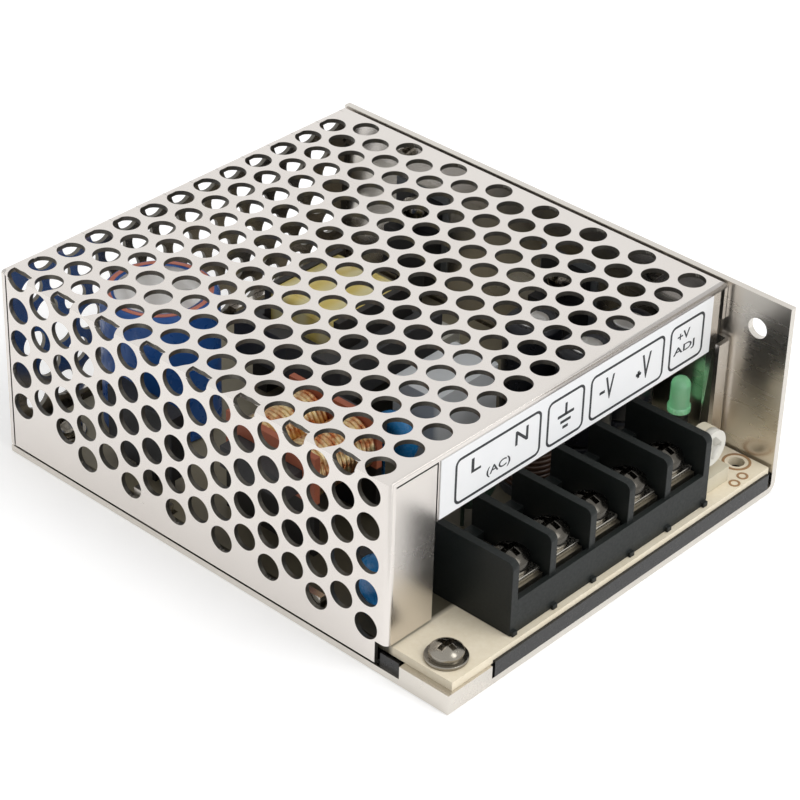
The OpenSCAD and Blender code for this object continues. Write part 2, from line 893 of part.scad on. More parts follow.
// Turning rotor of the trimmer, a disc on a short hub with a crossed screwdriver slot
module trimmer_rotor() {
  color("white")
    difference() {
      union() {
        rod_y(rotor_front, rotor_front + rotor_t, trim_x, rotor_z, rotor_d);
        rod_y(rotor_front + rotor_t - 0.1, trim_face + hub_in, trim_x, rotor_z, hub_d);
      }
      for (slot = [[slot_l, slot_w], [slot_w, slot_l]])
        span(
          [trim_x - slot[0] / 2, rotor_front - 1, rotor_z - slot[1] / 2],
          [trim_x + slot[0] / 2, rotor_front + slot_deep, rotor_z + slot[1] / 2]
        );
    }
}

// Green indicator lamp with a rim and a domed end
module power_lamp() {
  r = lamp_d / 2;
  color("mediumseagreen")
    translate([lamp_x, lamp_y, lamp_foot + touch]) {
      cylinder(h = 1, r = r + lamp_rim);
      cylinder(h = lamp_h - r, r = r);
      translate([0, 0, lamp_h - r])
        intersection() {
          sphere(r);
          translate([-r, -r, -eps])
            cube([2 * r, 2 * r, r + 1]);
        }
    }
}

// Tube that holds the lamp above the board
module lamp_spacer() {
  color("#2a2a2c")
    translate([lamp_x, lamp_y, deck + touch])
      difference() {
        cylinder(h = lamp_foot - deck - touch, d = lamp_d);
        translate([0, 0, -1])
          cylinder(h = lamp_foot - deck + 2, d = lamp_d - 1.6);
      }
}

// A sleeved can capacitor with a crimped groove near its foot and a sunk top disc
module can_capacitor(d, h) {
  r = d / 2;
  rotate_extrude()
    polygon([
      [0, 0],
      [r - 0.5, 0],
      [r, 0.5],
      [r, 2],
      [r - 0.5, 2.6],
      [r, 3.2],
      [r, h - 1],
      [r - 0.8, h],
      [r - 1.9, h],
      [r - 2.2, h - 0.35],
      [0, h - 0.35]
    ]);
}

module bulk_capacitor() {
  color("#1f3f8f")
    translate([bulk_at[0], bulk_at[1], deck + touch])
      can_capacitor(bulk_d, bulk_h);
}

// Two E-shaped ferrite halves, meeting in the middle of the winding
module transformer_core() {
  half = core_w / 2;
  window = core_back / 2;
  color("#3a3a3e")
    for (turn = [0, 180])
      translate([transformer_at[0], transformer_at[1], core_mid - core_h / 2])
        rotate(turn)
          linear_extrude(core_h)
            difference() {
              translate([-half, touch])
                square([core_w, half - touch]);
              for (side = [-1, 1])
                translate([side * (core_leg / 2 + half - core_side) / 2, (half - core_back - window) / 2])
                  square([half - core_side - core_leg / 2, half - core_back + window], center = true);
            }
}

module transformer_bobbin() {
  leg_in = core_leg / 2 + slack;
  z_in = core_h / 2 + slack;
  y1 = winding_l / 2 + bobbin_flange;
  color("#2b2b2b")
    translate([transformer_at[0], transformer_at[1], core_mid])
      difference() {
        union() {
          for (side = [-1, 1]) {
            y = side * (winding_l / 2 + bobbin_flange / 2);
            translate([-winding_w / 2, y - bobbin_flange / 2, -winding_h / 2])
              cube([winding_w, bobbin_flange, winding_h]);
            rail_y = side * (y1 + bobbin_rail / 2 - 0.5) - bobbin_rail / 2;
            translate([-winding_w / 2, rail_y, deck + touch - core_mid])
              cube([winding_w, bobbin_rail, core_mid - z_in - deck - touch - slack]);
          }
          translate([-leg_in - tube_t, -y1, -z_in - tube_t])
            cube([2 * (leg_in + tube_t), 2 * y1, 2 * (z_in + tube_t)]);
        }
        translate([-leg_in, -core_w, -z_in])
          cube([2 * leg_in, 2 * core_w, 2 * z_in]);
      }
}

// Yellow tape over the transformer's turns
module transformer_winding() {
  hole_w = core_leg + 2 * (slack + tube_t) + 2 * touch;
  hole_h = core_h + 2 * (slack + tube_t) + 2 * touch;
  w = winding_w - 2 * winding_step;
  h = winding_h - 2 * winding_step;
  r = winding_r;
  color("#d9c24a")
    translate([transformer_at[0], transformer_at[1] + winding_l / 2 - touch, core_mid])
      rotate([90, 0, 0])
        linear_extrude(winding_l - 2 * touch)
          difference() {
            union() {
              square([w - 2 * r, h], center = true);
              square([w, h - 2 * r], center = true);
              for (x = [r - w / 2, w / 2 - r], z = [r - h / 2, h / 2 - r])
                translate([x, z])
                  circle(r);
            }
            square([hole_w, hole_h], center = true);
          }
}

// Square ring of ferrite that the two filter coils share
module filter_core() {
  half_x = filter_half[0];
  half_y = (coil_gap + ring_t) / 2;
  color("#35353a")
    translate([filter_at[0], filter_at[1], filter_mid - ring_t / 2])
      difference() {
        translate([-half_x, -half_y, 0])
          cube([2 * half_x, 2 * half_y, ring_t]);
        translate([ring_t - half_x, ring_t - half_y, -ring_t])
          cube([2 * (half_x - ring_t), 2 * (half_y - ring_t), 3 * ring_t]);
      }
}

module filter_bobbin() {
  flange_y = coil_gap + coil_d;
  rise = coil_d / 2 + 0.6;
  hole = ring_t + 2 * slack;
  tube = hole + 2 * filter_tube;
  color("#4a4438")
    translate([filter_at[0], filter_at[1], filter_mid])
      difference() {
        union() {
          for (side = [-1, 1]) {
            flange_x = side * (coil_l + filter_flange) / 2 - filter_flange / 2;
            translate([flange_x, -flange_y / 2, deck + touch - filter_mid])
              cube([filter_flange, flange_y, filter_mid - deck - touch + rise]);
            translate([-coil_l / 2 - eps, side * coil_gap / 2 - tube / 2, -tube / 2])
              cube([coil_l + 2 * eps, tube, tube]);
          }
        }
        for (side = [-1, 1])
          translate([-coil_l, side * coil_gap / 2 - hole / 2, -hole / 2])
            cube([2 * coil_l, hole, hole]);
      }
}

// A coil of round wire with its turns side by side, along Z from the origin
module wound_coil(l, d, inner, wire) {
  turns = floor(l / wire);
  pitch = l / turns;
  rotate_extrude()
    union() {
      translate([inner / 2, 0])
        square([(d - inner - wire) / 2, l]);
      for (k = [0 : turns - 1])
        translate([(d - wire) / 2, (k + 0.5) * pitch])
          circle(d = pitch * 1.02, $fn = 20);
    }
}

module filter_coils() {
  inner = (ring_t + 2 * slack + 2 * filter_tube) * sqrt(2) + slack;
  color("#b8622f")
    for (side = [-1, 1])
      translate([filter_at[0] - coil_l / 2 + 0.1, filter_at[1] + side * coil_gap / 2, filter_mid])
        rotate([0, 90, 0])
          wound_coil(coil_l - 0.2, coil_d, inner, wire_d);
}

module line_capacitor() {
  color("#a9b3bf")
    translate([box_cap_at[0], box_cap_at[1], deck + touch])
      round_block([box_cap_w, box_cap_d, box_cap_h], 0.8);
}

// A dipped disc on two straight leads, standing in the X and Z plane
module dipped_disc(d, t, lift) {
  mid = lift + d / 2;
  translate([0, t / 2, mid])
    rotate([90, 0, 0])
      rotate_extrude() {
        square([d / 2 - t / 2, t]);
        translate([d / 2 - t / 2, t / 2])
          intersection() {
            circle(t / 2);
            translate([0, -t])
              square(2 * t);
          }
      }
  for (side = [-1, 1])
    translate([side * d * 0.28, 0, 0])
      cylinder(h = mid, d = lead_d);
}

module disc_capacitors() {
  color("#2f6fb0")
    for (place = disc_caps)
      translate([place[0], place[1], deck + touch])
        rotate(90)
          dipped_disc(disc_d, disc_t, place[2]);
}

module inrush_thermistor() {
  color("#2f3a33")
    translate([thermistor_at[0], thermistor_at[1], deck + touch])
      dipped_disc(thermistor_d, thermistor_t, thermistor_lift);
}

module line_fuse() {
  color("#202024")
    translate([fuse_at[0], fuse_at[1], deck + touch])
      round_block(fuse_size, 0.5);
}

// Four-legged bridge rectifier standing along the left wall
module bridge_rectifier() {
  lift = bridge_lift;
  color("#26262a")
    translate([bridge_at[0], bridge_at[1], deck + touch]) {
      translate([0, 0, lift])
        round_block(bridge_size, 0.6);
      for (k = [-1.5 : 1 : 1.5])
        translate([-0.4, k * bridge_pitch - 0.4, 0])
          cube([0.8, 0.8, lift + eps]);
    }
}

// A flat power device with its tab held to the side wall, centred on y
module power_device(y) {
  body_top = device_foot + device_body_h;
  y0 = y - device_w / 2;
  leg_x = tab_face - device_t / 2 - leg_t / 2;
  difference() {
    union() {
      span([tab_face - tab_t, y0, device_foot + 0.5], [tab_face, y0 + device_w, device_top]);
      span([tab_face - device_t, y0, device_foot], [tab_face - tab_t + eps, y0 + device_w, body_top]);
      for (k = [-1, 0, 1])
        span(
          [leg_x - leg_t, y + k * leg_pitch - leg_w / 2, deck + touch],
          [leg_x, y + k * leg_pitch + leg_w / 2, device_foot + eps]
        );
    }
    rod_x(tab_face - device_t - 1, tab_face + 1, y, device_hole_z, m3_clear + 0.4);
  }
}

module switch_transistor() {
  color("#2a2a2d")
    power_device(devices_y[1]);
}

module output_rectifier() {
  color("#2a2a2d")
    power_device(devices_y[0]);
}

// Thin sheets between the power devices and the side wall
module insulating_pads() {
  color("#8a8f96")
    for (y = devices_y)
      difference() {
        span(
          [wall_in - touch - pad_t, y - device_w / 2 - pad_edge, device_foot - pad_edge],
          [wall_in - touch, y + device_w / 2 + pad_edge, device_top + pad_edge]
        );
        rod_x(wall_in - 2, wall_in + 1, y, device_hole_z, m3_clear);
      }
}

module device_screws() {
  seat = tab_face - tab_t - touch;
  color("silver")
    for (y = devices_y) {
      translate([seat, y, device_hole_z])
        rotate([0, -90, 0])
          domed_head(m3_head_d, m3_head_h, m3_slot);
      rod_x(seat - eps, right - 0.3, y, device_hole_z, m3_d);
    }
}

module output_capacitors() {
  color("#1b1b20")
    for (place = out_caps)
      translate([place[0], place[1], deck + touch])
        can_capacitor(out_cap_d, out_cap_h);
}

// Drum core of the output inductor, standing on the board
module output_inductor_core() {
  color("#3a3a3e")
    translate([inductor_at[0], inductor_at[1], deck + touch]) {
      cylinder(h = drum_rim, d = inductor_d);
      cylinder(h = inductor_h, d = drum_post);
      translate([0, 0, inductor_h - drum_rim])
        cylinder(h = drum_rim, d = inductor_d);
    }
}

module output_inductor_coil() {
  color("#b8622f")
    translate([inductor_at[0], inductor_at[1], deck + touch + drum_rim + touch])
      wound_coil(inductor_h - 2 * drum_rim - 2 * touch, inductor_d - 0.4, drum_post + 2 * slack, wire_d);
}

// A small moulded chip on two rows of legs, standing over the origin with its rows along X
module legged_chip(size, pairs) {
  translate([0, 0, chip_lift])
    round_block([size[0], size[1], chip_h - chip_lift], 0.25);
  for (k = [0 : pairs - 1], side = [-1, 1])
    translate([(k - (pairs - 1) / 2) * leg_pitch, side * (size[1] + pin_t) / 2, 0]) {
      translate([-pin_t / 2, -pin_t / 2, 0])
        cube([pin_t, pin_t, chip_h / 2]);
      translate([-pin_t / 2, -pin_t / 2 - side * pin_t, (chip_h - pin_t) / 2])
        cube([pin_t, 2 * pin_t, pin_t / 2]);
    }
}

module feedback_coupler() {
  color("#e4e2da")
    translate([coupler_at[0], coupler_at[1], deck + touch])
      legged_chip(coupler_size, 2);
}

module controller_chip() {
  color("#202022")
    translate([controller_at[0], controller_at[1], deck + touch])
      legged_chip(controller_size, 4);
}

base_chassis();
cover();
cover_screws();
insulating_sheet();
circuit_board();
board_screws();
board_washers();
terminal_label();
terminal_body();
terminal_contacts();
clamp_washer(0);  // clamp_washer_1
clamp_washer(1);  // clamp_washer_2
clamp_washer(2);  // clamp_washer_3
clamp_washer(3);  // clamp_washer_4
clamp_washer(4);  // clamp_washer_5
terminal_screw(0);  // terminal_screw_1
terminal_screw(1);  // terminal_screw_2
terminal_screw(2);  // terminal_screw_3
terminal_screw(3);  // terminal_screw_4
terminal_screw(4);  // terminal_screw_5
trimmer_body();
trimmer_rotor();
power_lamp();
lamp_spacer();
bulk_capacitor();
transformer_core();
transformer_bobbin();
transformer_winding();
filter_core();
filter_bobbin();
filter_coils();
line_capacitor();
disc_capacitors();
line_fuse();
inrush_thermistor();
bridge_rectifier();
switch_transistor();
output_rectifier();
insulating_pads();
device_screws();
output_capacitors();
output_inductor_core();
output_inductor_coil();
feedback_coupler();
controller_chip();
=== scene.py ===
# %% [markdown]
# # Dressing a small power supply
# The CAD model already has every sheet, screw and component in place. This lesson gives it the
# surfaces, printing and small trim that make it read as a real object: plated steel with sheared
# holes, black moulding, a printed strip, a tinted lamp and the coloured parts that show through the
# punched cover.

# %% Load the frame
import json
import math

import bpy
from mathutils import Matrix, Vector

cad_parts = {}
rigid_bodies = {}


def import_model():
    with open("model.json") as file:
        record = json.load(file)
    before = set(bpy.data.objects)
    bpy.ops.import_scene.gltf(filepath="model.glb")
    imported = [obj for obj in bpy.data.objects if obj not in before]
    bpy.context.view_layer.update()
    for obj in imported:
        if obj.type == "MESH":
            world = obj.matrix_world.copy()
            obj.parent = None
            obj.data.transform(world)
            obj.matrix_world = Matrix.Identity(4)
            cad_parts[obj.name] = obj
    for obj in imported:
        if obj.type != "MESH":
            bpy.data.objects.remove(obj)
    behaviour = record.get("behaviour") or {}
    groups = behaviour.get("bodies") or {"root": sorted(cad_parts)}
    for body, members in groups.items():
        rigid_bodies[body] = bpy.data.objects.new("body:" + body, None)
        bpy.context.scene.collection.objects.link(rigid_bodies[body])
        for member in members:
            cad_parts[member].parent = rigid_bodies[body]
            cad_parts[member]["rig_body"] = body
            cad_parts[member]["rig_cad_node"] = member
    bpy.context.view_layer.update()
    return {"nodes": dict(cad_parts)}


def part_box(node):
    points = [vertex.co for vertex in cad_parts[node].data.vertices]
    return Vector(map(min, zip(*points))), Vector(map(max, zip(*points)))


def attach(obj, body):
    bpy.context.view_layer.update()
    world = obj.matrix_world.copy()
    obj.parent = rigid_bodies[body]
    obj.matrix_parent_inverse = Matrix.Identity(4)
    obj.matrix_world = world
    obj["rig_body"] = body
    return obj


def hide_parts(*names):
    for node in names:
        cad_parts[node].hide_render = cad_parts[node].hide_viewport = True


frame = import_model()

MM = 0.001
nodes = frame["nodes"]

# %% [markdown]
# ## Camera
# The object is seen from above its left front corner through a fairly long lens, so its parallel edges
# stay almost parallel. A turntable angle, a tilt and a small roll place the camera, which is easier to
# adjust than a bare position and rotation.

# %% Set up the camera
azimuth, elevation, roll = (math.radians(a) for a in (-48.277, 33.539, 1.785))
target = Vector((16.687, 13.45, 0)) * MM
distance = 492.351 * MM
away = Vector((
    math.sin(azimuth) * math.cos(elevation),
    -math.cos(azimuth) * math.cos(elevation),
    math.sin(elevation),
))
level = (-away).cross(Vector((0, 0, 1))).normalized()
upright = level.cross(-away)
across = math.cos(roll) * level + math.sin(roll) * upright
upward = math.cos(roll) * upright - math.sin(roll) * level
turn = Matrix((across, upward, away)).transposed().to_4x4()
bpy.ops.object.select_all(action="DESELECT")
bpy.ops.object.camera_add()
camera = bpy.context.object
camera.matrix_world = Matrix.Translation(target + away * distance) @ turn
camera.data.sensor_width = 36
camera.data.lens = 126.8
camera.data.clip_start = 0.01
bpy.context.scene.camera = camera
print("camera at", [round(c / MM) for c in camera.location], "mm")

# %% [markdown]
# ## Colours and nodes
# Colours are written as the hex values a picture editor shows. Blender's shaders work on linear light,
# so one function converts them. One more function adds a node, sets its values and links its inputs,
# which keeps each material below down to a few readable lines.

# %% Colour and node helpers
def ink(code):
    """Linear RGBA of an sRGB hex colour."""
    parts = [int(code[i:i + 2], 16) / 255 for i in (1, 3, 5)]
    return [c / 12.92 if c <= 0.04045 else ((c + 0.055) / 1.055) ** 2.4 for c in parts] + [1]


def add(tree, kind, links=None, values=None, **settings):
    """Adds a node. links feed inputs from other sockets, values set inputs, settings set properties."""
    made = tree.nodes.new("ShaderNode" + kind)
    for name, value in settings.items():
        setattr(made, name, value)
    for name, value in (values or {}).items():
        made.inputs[name].default_value = value
    for name, socket in (links or {}).items():
        tree.links.new(socket, made.inputs[name])
    return made


def new_material(name):
    """An empty material and its node tree."""
    material = bpy.data.materials.new(name)
    material.use_nodes = True
    material.node_tree.nodes.clear()
    return material, material.node_tree


def close_material(tree, shader):
    """Links the finished shader to the material's output."""
    add(tree, "OutputMaterial", links={"Surface": shader.outputs[0]})


def per_mm(size):
    """Texture scale that makes one cell of a pattern this many millimetres wide."""
    return 1 / (size * MM)


print("mid grey is", round(ink("#808080")[0], 3))

# %% [markdown]
# ## Floor and light
# A sheet of white paper, a large soft box at the front right, a dimmer one overhead and a dim room,
# together at a level where a colour renders about as it is written. The front one lights the terminal
# side and leaves the left side of each moulding dark. The room and the paper look white to the camera
# and in mirrors and glass, so the plated steel shows a bright room without more light falling on the
# object, and the paper still takes the object's shadow. The paper's own glow grows with distance, where
# less light falls on it, so no horizon shows. Flat steel that mirrored the soft boxes on top of that
# room would burn out, so they are kept out of reflections, and a small card puts the glints on the
# round screw heads.

# %% Paper
def seen_rays(tree):
    """A socket that is 1 for rays from the camera, from mirrors and through glass, and 0 for light."""
    rays = add(tree, "LightPath")
    direct = add(tree, "Math", operation="MAXIMUM",
                 links={0: rays.outputs["Is Camera Ray"], 1: rays.outputs["Is Glossy Ray"]})
    return add(tree, "Math", operation="MAXIMUM",
               links={0: direct.outputs[0], 1: rays.outputs["Is Transmission Ray"]}).outputs[0]


paper_width = 2.4
under_object = 0.05 * MM
near, near_glow = 0.15, 0.2
far, far_glow = 0.9, 0.42
bpy.ops.object.select_all(action="DESELECT")
bpy.ops.mesh.primitive_plane_add(size=paper_width, location=(0, 0, -under_object))
floor = bpy.context.object
floor.name = "floor"
paper, tree = new_material("white_sweep_paper")
flat = add(tree, "BsdfDiffuse", values={"Color": ink("#FCFCFC")})
place = add(tree, "TexCoord")
reach = add(tree, "VectorMath", operation="LENGTH", links={0: place.outputs["Object"]})
fade = add(tree, "MapRange", links={"Value": reach.outputs["Value"]},
           values={"From Min": near, "From Max": far, "To Min": near_glow, "To Max": far_glow})
lift = add(tree, "Math", operation="MULTIPLY", links={0: fade.outputs[0], 1: seen_rays(tree)})
glow = add(tree, "Emission", links={"Strength": lift.outputs[0]}, values={"Color": ink("#FFFFFF")})
close_material(tree, add(tree, "AddShader", links={0: flat.outputs[0], 1: glow.outputs[0]}))
floor.data.materials.append(paper)
print(paper.name, paper_width, "m wide")

# %% Room
room_light, room_seen = 0.34, 1.0
world = bpy.data.worlds.new("bright_room")
bpy.context.scene.world = world
world.use_nodes = True
tree = world.node_tree
tree.nodes.clear()
strength = add(tree, "MapRange", links={"Value": seen_rays(tree)},
               values={"To Min": room_light, "To Max": room_seen})
sky = add(tree, "Background", links={"Strength": strength.outputs[0]}, values={"Color": ink("#FFFFFF")})
add(tree, "OutputWorld", links={"Surface": sky.outputs[0]})
print(world.name, "lights at", room_light)

# %% Soft boxes
def hang_lamp(name, place, size, power, mirrored):
    """A square lamp that faces the object and shows in reflections only if it is mirrored."""
    bpy.ops.object.light_add(type="AREA", location=place)
    lamp = bpy.context.object
    lamp.name = name
    lamp.data.size = size
    lamp.data.energy = power
    lamp.visible_glossy = mirrored
    lamp.rotation_euler = (-Vector(place)).to_track_quat("-Z", "Y").to_euler()
    print(name, power, "W")


hang_lamp("key_softbox", place=(0.40, -1.30, 0.95), size=2.0, power=19.0, mirrored=False)
hang_lamp("top_fill", place=(-0.10, 0.20, 1.30), size=1.35, power=6.5, mirrored=False)
hang_lamp("glint_card", place=(0.30, -0.90, 1.25), size=0.5, power=3.0, mirrored=True)

# %% [markdown]
# ## Plated steel
# The base and the cover are bright zinc-plated sheet. Rolling leaves fine streaks along the sheet's
# length and the plating bath faint cloudy patches, so the roughness follows a stretched noise for the
# streaks and a broad one for the clouds. The streaks are drawn coarser than real rolling lines, which
# are too fine to show. A very shallow broad bump lets mirrored edges wander, as they do in thin sheet.
# A picture of real sheet could do this too, but noise has no edges and never repeats.

# %% Zinc-plated sheet
streak_width, streak_length = 1.2, 30
cloud_width = 26
swing = 0.03
# most values of a noise texture lie between these two
NOISE_SPAN = {"From Min": 0.3, "From Max": 0.7}


def plated_sheet(name, colours, dull):
    """Bright sheet whose rolling streaks run front to back."""
    steel, tree = new_material(name)
    place = add(tree, "TexCoord")
    streaks = add(tree, "Mapping", links={"Vector": place.outputs["Object"]},
                  values={"Scale": (per_mm(streak_width), per_mm(streak_length), per_mm(streak_width))})
    streaks = add(tree, "TexNoise", links={"Vector": streaks.outputs[0]}, values={"Scale": 1, "Detail": 2})
    clouds = add(tree, "TexNoise", links={"Vector": place.outputs["Object"]},
                 values={"Scale": per_mm(cloud_width), "Detail": 4, "Roughness": 0.55})
    mixed = add(tree, "Mix", data_type="FLOAT", values={"Factor": 0.8},
                links={"A": streaks.outputs["Fac"], "B": clouds.outputs["Fac"]})
    rough = add(tree, "MapRange", links={"Value": mixed.outputs[0]},
                values={**NOISE_SPAN, "To Min": dull - swing, "To Max": dull + swing})
    tint = add(tree, "Mix", data_type="RGBA", links={"Factor": clouds.outputs["Fac"]},
               values={"A": ink(colours[0]), "B": ink(colours[1])})
    bump = add(tree, "Bump", links={"Height": clouds.outputs["Fac"]},
               values={"Strength": 0.25, "Distance": 0.1 * MM})
    shader = add(tree, "BsdfPrincipled", values={"Metallic": 1},
                 links={"Base Color": tint.outputs[2], "Roughness": rough.outputs[0],
                        "Normal": bump.outputs[0]})
    close_material(tree, shader)
    return steel


finishes = {}
# thin bright plate: light neutral grey with soft mirrored shapes
finishes["cover"] = plated_sheet("zinc_plated_cover_sheet", ("#E6E1DC", "#DBD5CF"), 0.25)
# the same plate on thicker, duller stock
finishes["base_chassis"] = plated_sheet("zinc_plated_base_sheet", ("#DEDAD3", "#CFC9C0"), 0.27)
print("plated sheets:", len(finishes))

# %% [markdown]
# ## A recipe for plain coloured parts
# Most small parts are plain plastic, resin, ceramic or plated metal. What the eye reads on them is a
# slight change of tone, a fine grain and a gloss. Each could have its own node tree, but one recipe
# covers them, and each part gives it a pair of colours, a size and depth of grain and a roughness.

# %% The recipe
gloss_swing = 0.06


def mottled(name, colours, grain, gloss, depth=0.01, patch=6.0, **sockets):
    """Colour wanders over patches, and a grain of that many millimetres breaks up the gloss."""
    material, tree = new_material(name)
    place = add(tree, "TexCoord")
    patches = add(tree, "TexNoise", links={"Vector": place.outputs["Object"]},
                  values={"Scale": per_mm(patch), "Detail": 3})
    fine = add(tree, "TexNoise", links={"Vector": place.outputs["Object"]},
               values={"Scale": per_mm(grain), "Detail": 2})
    tone = add(tree, "Mix", data_type="RGBA", links={"Factor": patches.outputs["Fac"]},
               values={"A": ink(colours[0]), "B": ink(colours[1])})
    rough = add(tree, "MapRange", links={"Value": fine.outputs["Fac"]},
                values={**NOISE_SPAN, "To Min": gloss - gloss_swing, "To Max": gloss + gloss_swing})
    bump = add(tree, "Bump", links={"Height": fine.outputs["Fac"]},
               values={"Strength": 0.3, "Distance": depth * MM})
    shader = add(tree, "BsdfPrincipled", values=sockets,
                 links={"Base Color": tone.outputs[2], "Roughness": rough.outputs[0],
                        "Normal": bump.outputs[0]})
    close_material(tree, shader)
    return material


print("roughness wanders by", gloss_swing)

# %% [markdown]
# ## The terminal side
# The block is black glass-filled polyester. Its screws and square washers are nickel plate, greyer than
# the sheet. The film under the board is black, the strip above the block is white, and the trimmer
# beside it is cream with a white rotor. One plate for all the metal would be simpler, but the screws sit
# in the block's shade and the washers' front edges catch the light, so the plate comes three times:
# plain, with painted shade on the screws and with a painted highlight on the washers.

# %% Finishes of the terminal side
# moulded glass-filled polyester: near-black and half matt, because its fibres break up the gloss
finishes["terminal_body"] = mottled(
    "moulded_black_polyester", ("#141716", "#1C201F"), 0.5, 0.46, **{"Specular IOR Level": 0.25})
# tinned brass bars: pale and warm, a little dull
finishes["terminal_contacts"] = mottled("tinned_brass_bar", ("#A9A394", "#8F897B"), 0.6, 0.34, Metallic=1)
# polycarbonate film: deep black with a clear gloss
finishes["insulating_sheet"] = mottled("black_polycarbonate_film", ("#0B0B0C", "#131314"), 0.8, 0.3)
# matt polyester film: a clean neutral white
finishes["terminal_label"] = mottled("white_polyester_film", ("#F0F0F1", "#E8E9EA"), 0.4, 0.45, 0.005)
# moulded trimmer: warm cream body, whiter rotor
finishes["trimmer_body"] = mottled("moulded_cream_trimmer", ("#D2CBB7", "#C2BAA4"), 0.3, 0.45)
finishes["trimmer_rotor"] = mottled("moulded_white_rotor", ("#DEDCD4", "#CECBC1"), 0.3, 0.42)
# black nylon tube under the lamp
finishes["lamp_spacer"] = mottled("black_nylon_tube", ("#151515", "#1E1E1F"), 0.4, 0.5)
# nickel plate on pressed steel: mid grey with sharp small glints
nickel = mottled("bright_nickel_plate", ("#9D988E", "#837E75"), 0.7, 0.22, 0.006, Metallic=1)
# the same plate on the terminal screws, painted darker as the shade they sit in between the barriers
shaded_nickel = mottled("nickel_plate_painted_shade", ("#5E5B55", "#4B4843"), 0.7, 0.24, 0.006, Metallic=1)
# the same plate on the square washers, painted whiter as the highlight on their front edges
highlit_nickel = mottled("nickel_plate_painted_highlight", ("#C8C4BB", "#ADA89E"), 0.7, 0.26, 0.006, Metallic=1)
for node in nodes:
    if "terminal_screw" in node:
        finishes[node] = shaded_nickel
    elif "clamp_washer" in node:
        finishes[node] = highlit_nickel
    elif "screw" in node or "washer" in node:
        finishes[node] = nickel
print("terminal side done,", len(finishes), "nodes so far")

# %% [markdown]
# ## The parts under the cover
# Through the holes only patches of each part show: a blue and three dark sleeves, grey ferrite, a light
# grey film capacitor and dipped blue and green discs. Their leads and seams could be modelled, but in
# such patches the colour and gloss tell one part from the next, so the recipe is enough.

# %% Finishes of the parts under the cover
# shrunk sleeves: clear gloss over a slightly rippled skin
finishes["bulk_capacitor"] = mottled("blue_shrunk_sleeve", ("#2555A2", "#336CB8"), 2.0, 0.3, 0.03)
finishes["output_capacitors"] = mottled("black_shrunk_sleeve", ("#17181D", "#22242B"), 1.5, 0.32, 0.03)
# ground ferrite: dry, dark grey and finely grained
ferrite = mottled("ground_ferrite", ("#3B3B3D", "#4A4A4B"), 0.25, 0.62, 0.02)
for node in ("transformer_core", "filter_core", "output_inductor_core"):
    finishes[node] = ferrite
# moulded coil former: dull black phenolic
finishes["transformer_bobbin"] = mottled("moulded_black_phenolic", ("#232120", "#2D2A28"), 0.4, 0.5)
# boxed film capacitor: light neutral grey, faintly grained
finishes["line_capacitor"] = mottled("moulded_grey_box", ("#E0E2E4", "#CFD3D6"), 0.4, 0.45)
# dipped coatings: wet-looking and uneven
finishes["disc_capacitors"] = mottled("blue_dipped_epoxy", ("#1E70B4", "#2E8CC8"), 0.8, 0.28, 0.03)
finishes["inrush_thermistor"] = mottled("green_dipped_epoxy", ("#2B3A31", "#36473C"), 0.8, 0.4, 0.03)
# moulded epoxy packages: matt charcoal with a fine grain
epoxy = mottled("moulded_black_epoxy", ("#1E1E20", "#28282A"), 0.3, 0.52)
for node in ("line_fuse", "bridge_rectifier", "switch_transistor", "output_rectifier", "controller_chip"):
    finishes[node] = epoxy
# white epoxy of the coupler, and the grey rubber behind the power parts
finishes["feedback_coupler"] = mottled("moulded_white_epoxy", ("#DCDAD2", "#CFCDC4"), 0.3, 0.5)
finishes["insulating_pads"] = mottled("grey_silicone_pad", ("#83888D", "#767B80"), 0.5, 0.7, 0.02)
print("parts done,", len(finishes), "nodes so far")

# %% [markdown]
# ## Board, coil former, tape, copper and the lamp's resin
# Five finishes need their own recipe. The board is phenolic paper, bare and cream along the terminal
# side and under a resist further in, painted dark towards the front as the shade under the flange and
# the strip, and lighter towards the back. The filter's coil former is salmon nylon, painted near-black
# below a line as the shade in the lowest holes. The transformer's tape is a clear yellow film wound in
# turns, and the coils are lacquered copper wire. The lamp is a milky green resin that light passes
# through, with a faint painted glow for the light that falls into its bay. The board and the former
# could be cut into pieces of one colour each, but maps along their length and height divide the colours
# without touching the shape.

# %% Phenolic paper board
# pressed phenolic paper: flecked and half matt, cream where it is bare
fleck_width, stain_width = 0.7, 9
board, tree = new_material("phenolic_paper_board")
place = add(tree, "TexCoord")
flecks = add(tree, "TexNoise", links={"Vector": place.outputs["Object"]},
             values={"Scale": per_mm(fleck_width), "Detail": 4})
stains = add(tree, "TexNoise", links={"Vector": place.outputs["Object"]},
             values={"Scale": per_mm(stain_width), "Detail": 3})
grain = add(tree, "Mix", data_type="FLOAT", values={"Factor": 0.55},
            links={"A": flecks.outputs["Fac"], "B": stains.outputs["Fac"]})
layers = {}
# the resist is painted dark at the front as shade, where the flange and strip keep out the light
for layer, colours in (
    ("bare", ("#DCCDAE", "#F8F0DD")),
    ("front_resist_painted_shade", ("#3B372D", "#5A5444")),
    ("back_resist", ("#8A826D", "#ABA28A")),
):
    layers[layer] = add(tree, "Mix", data_type="RGBA", links={"Factor": grain.outputs[0]},
                        values={"A": ink(colours[0]), "B": ink(colours[1])}).outputs[2]
print("board layers:", ", ".join(layers))

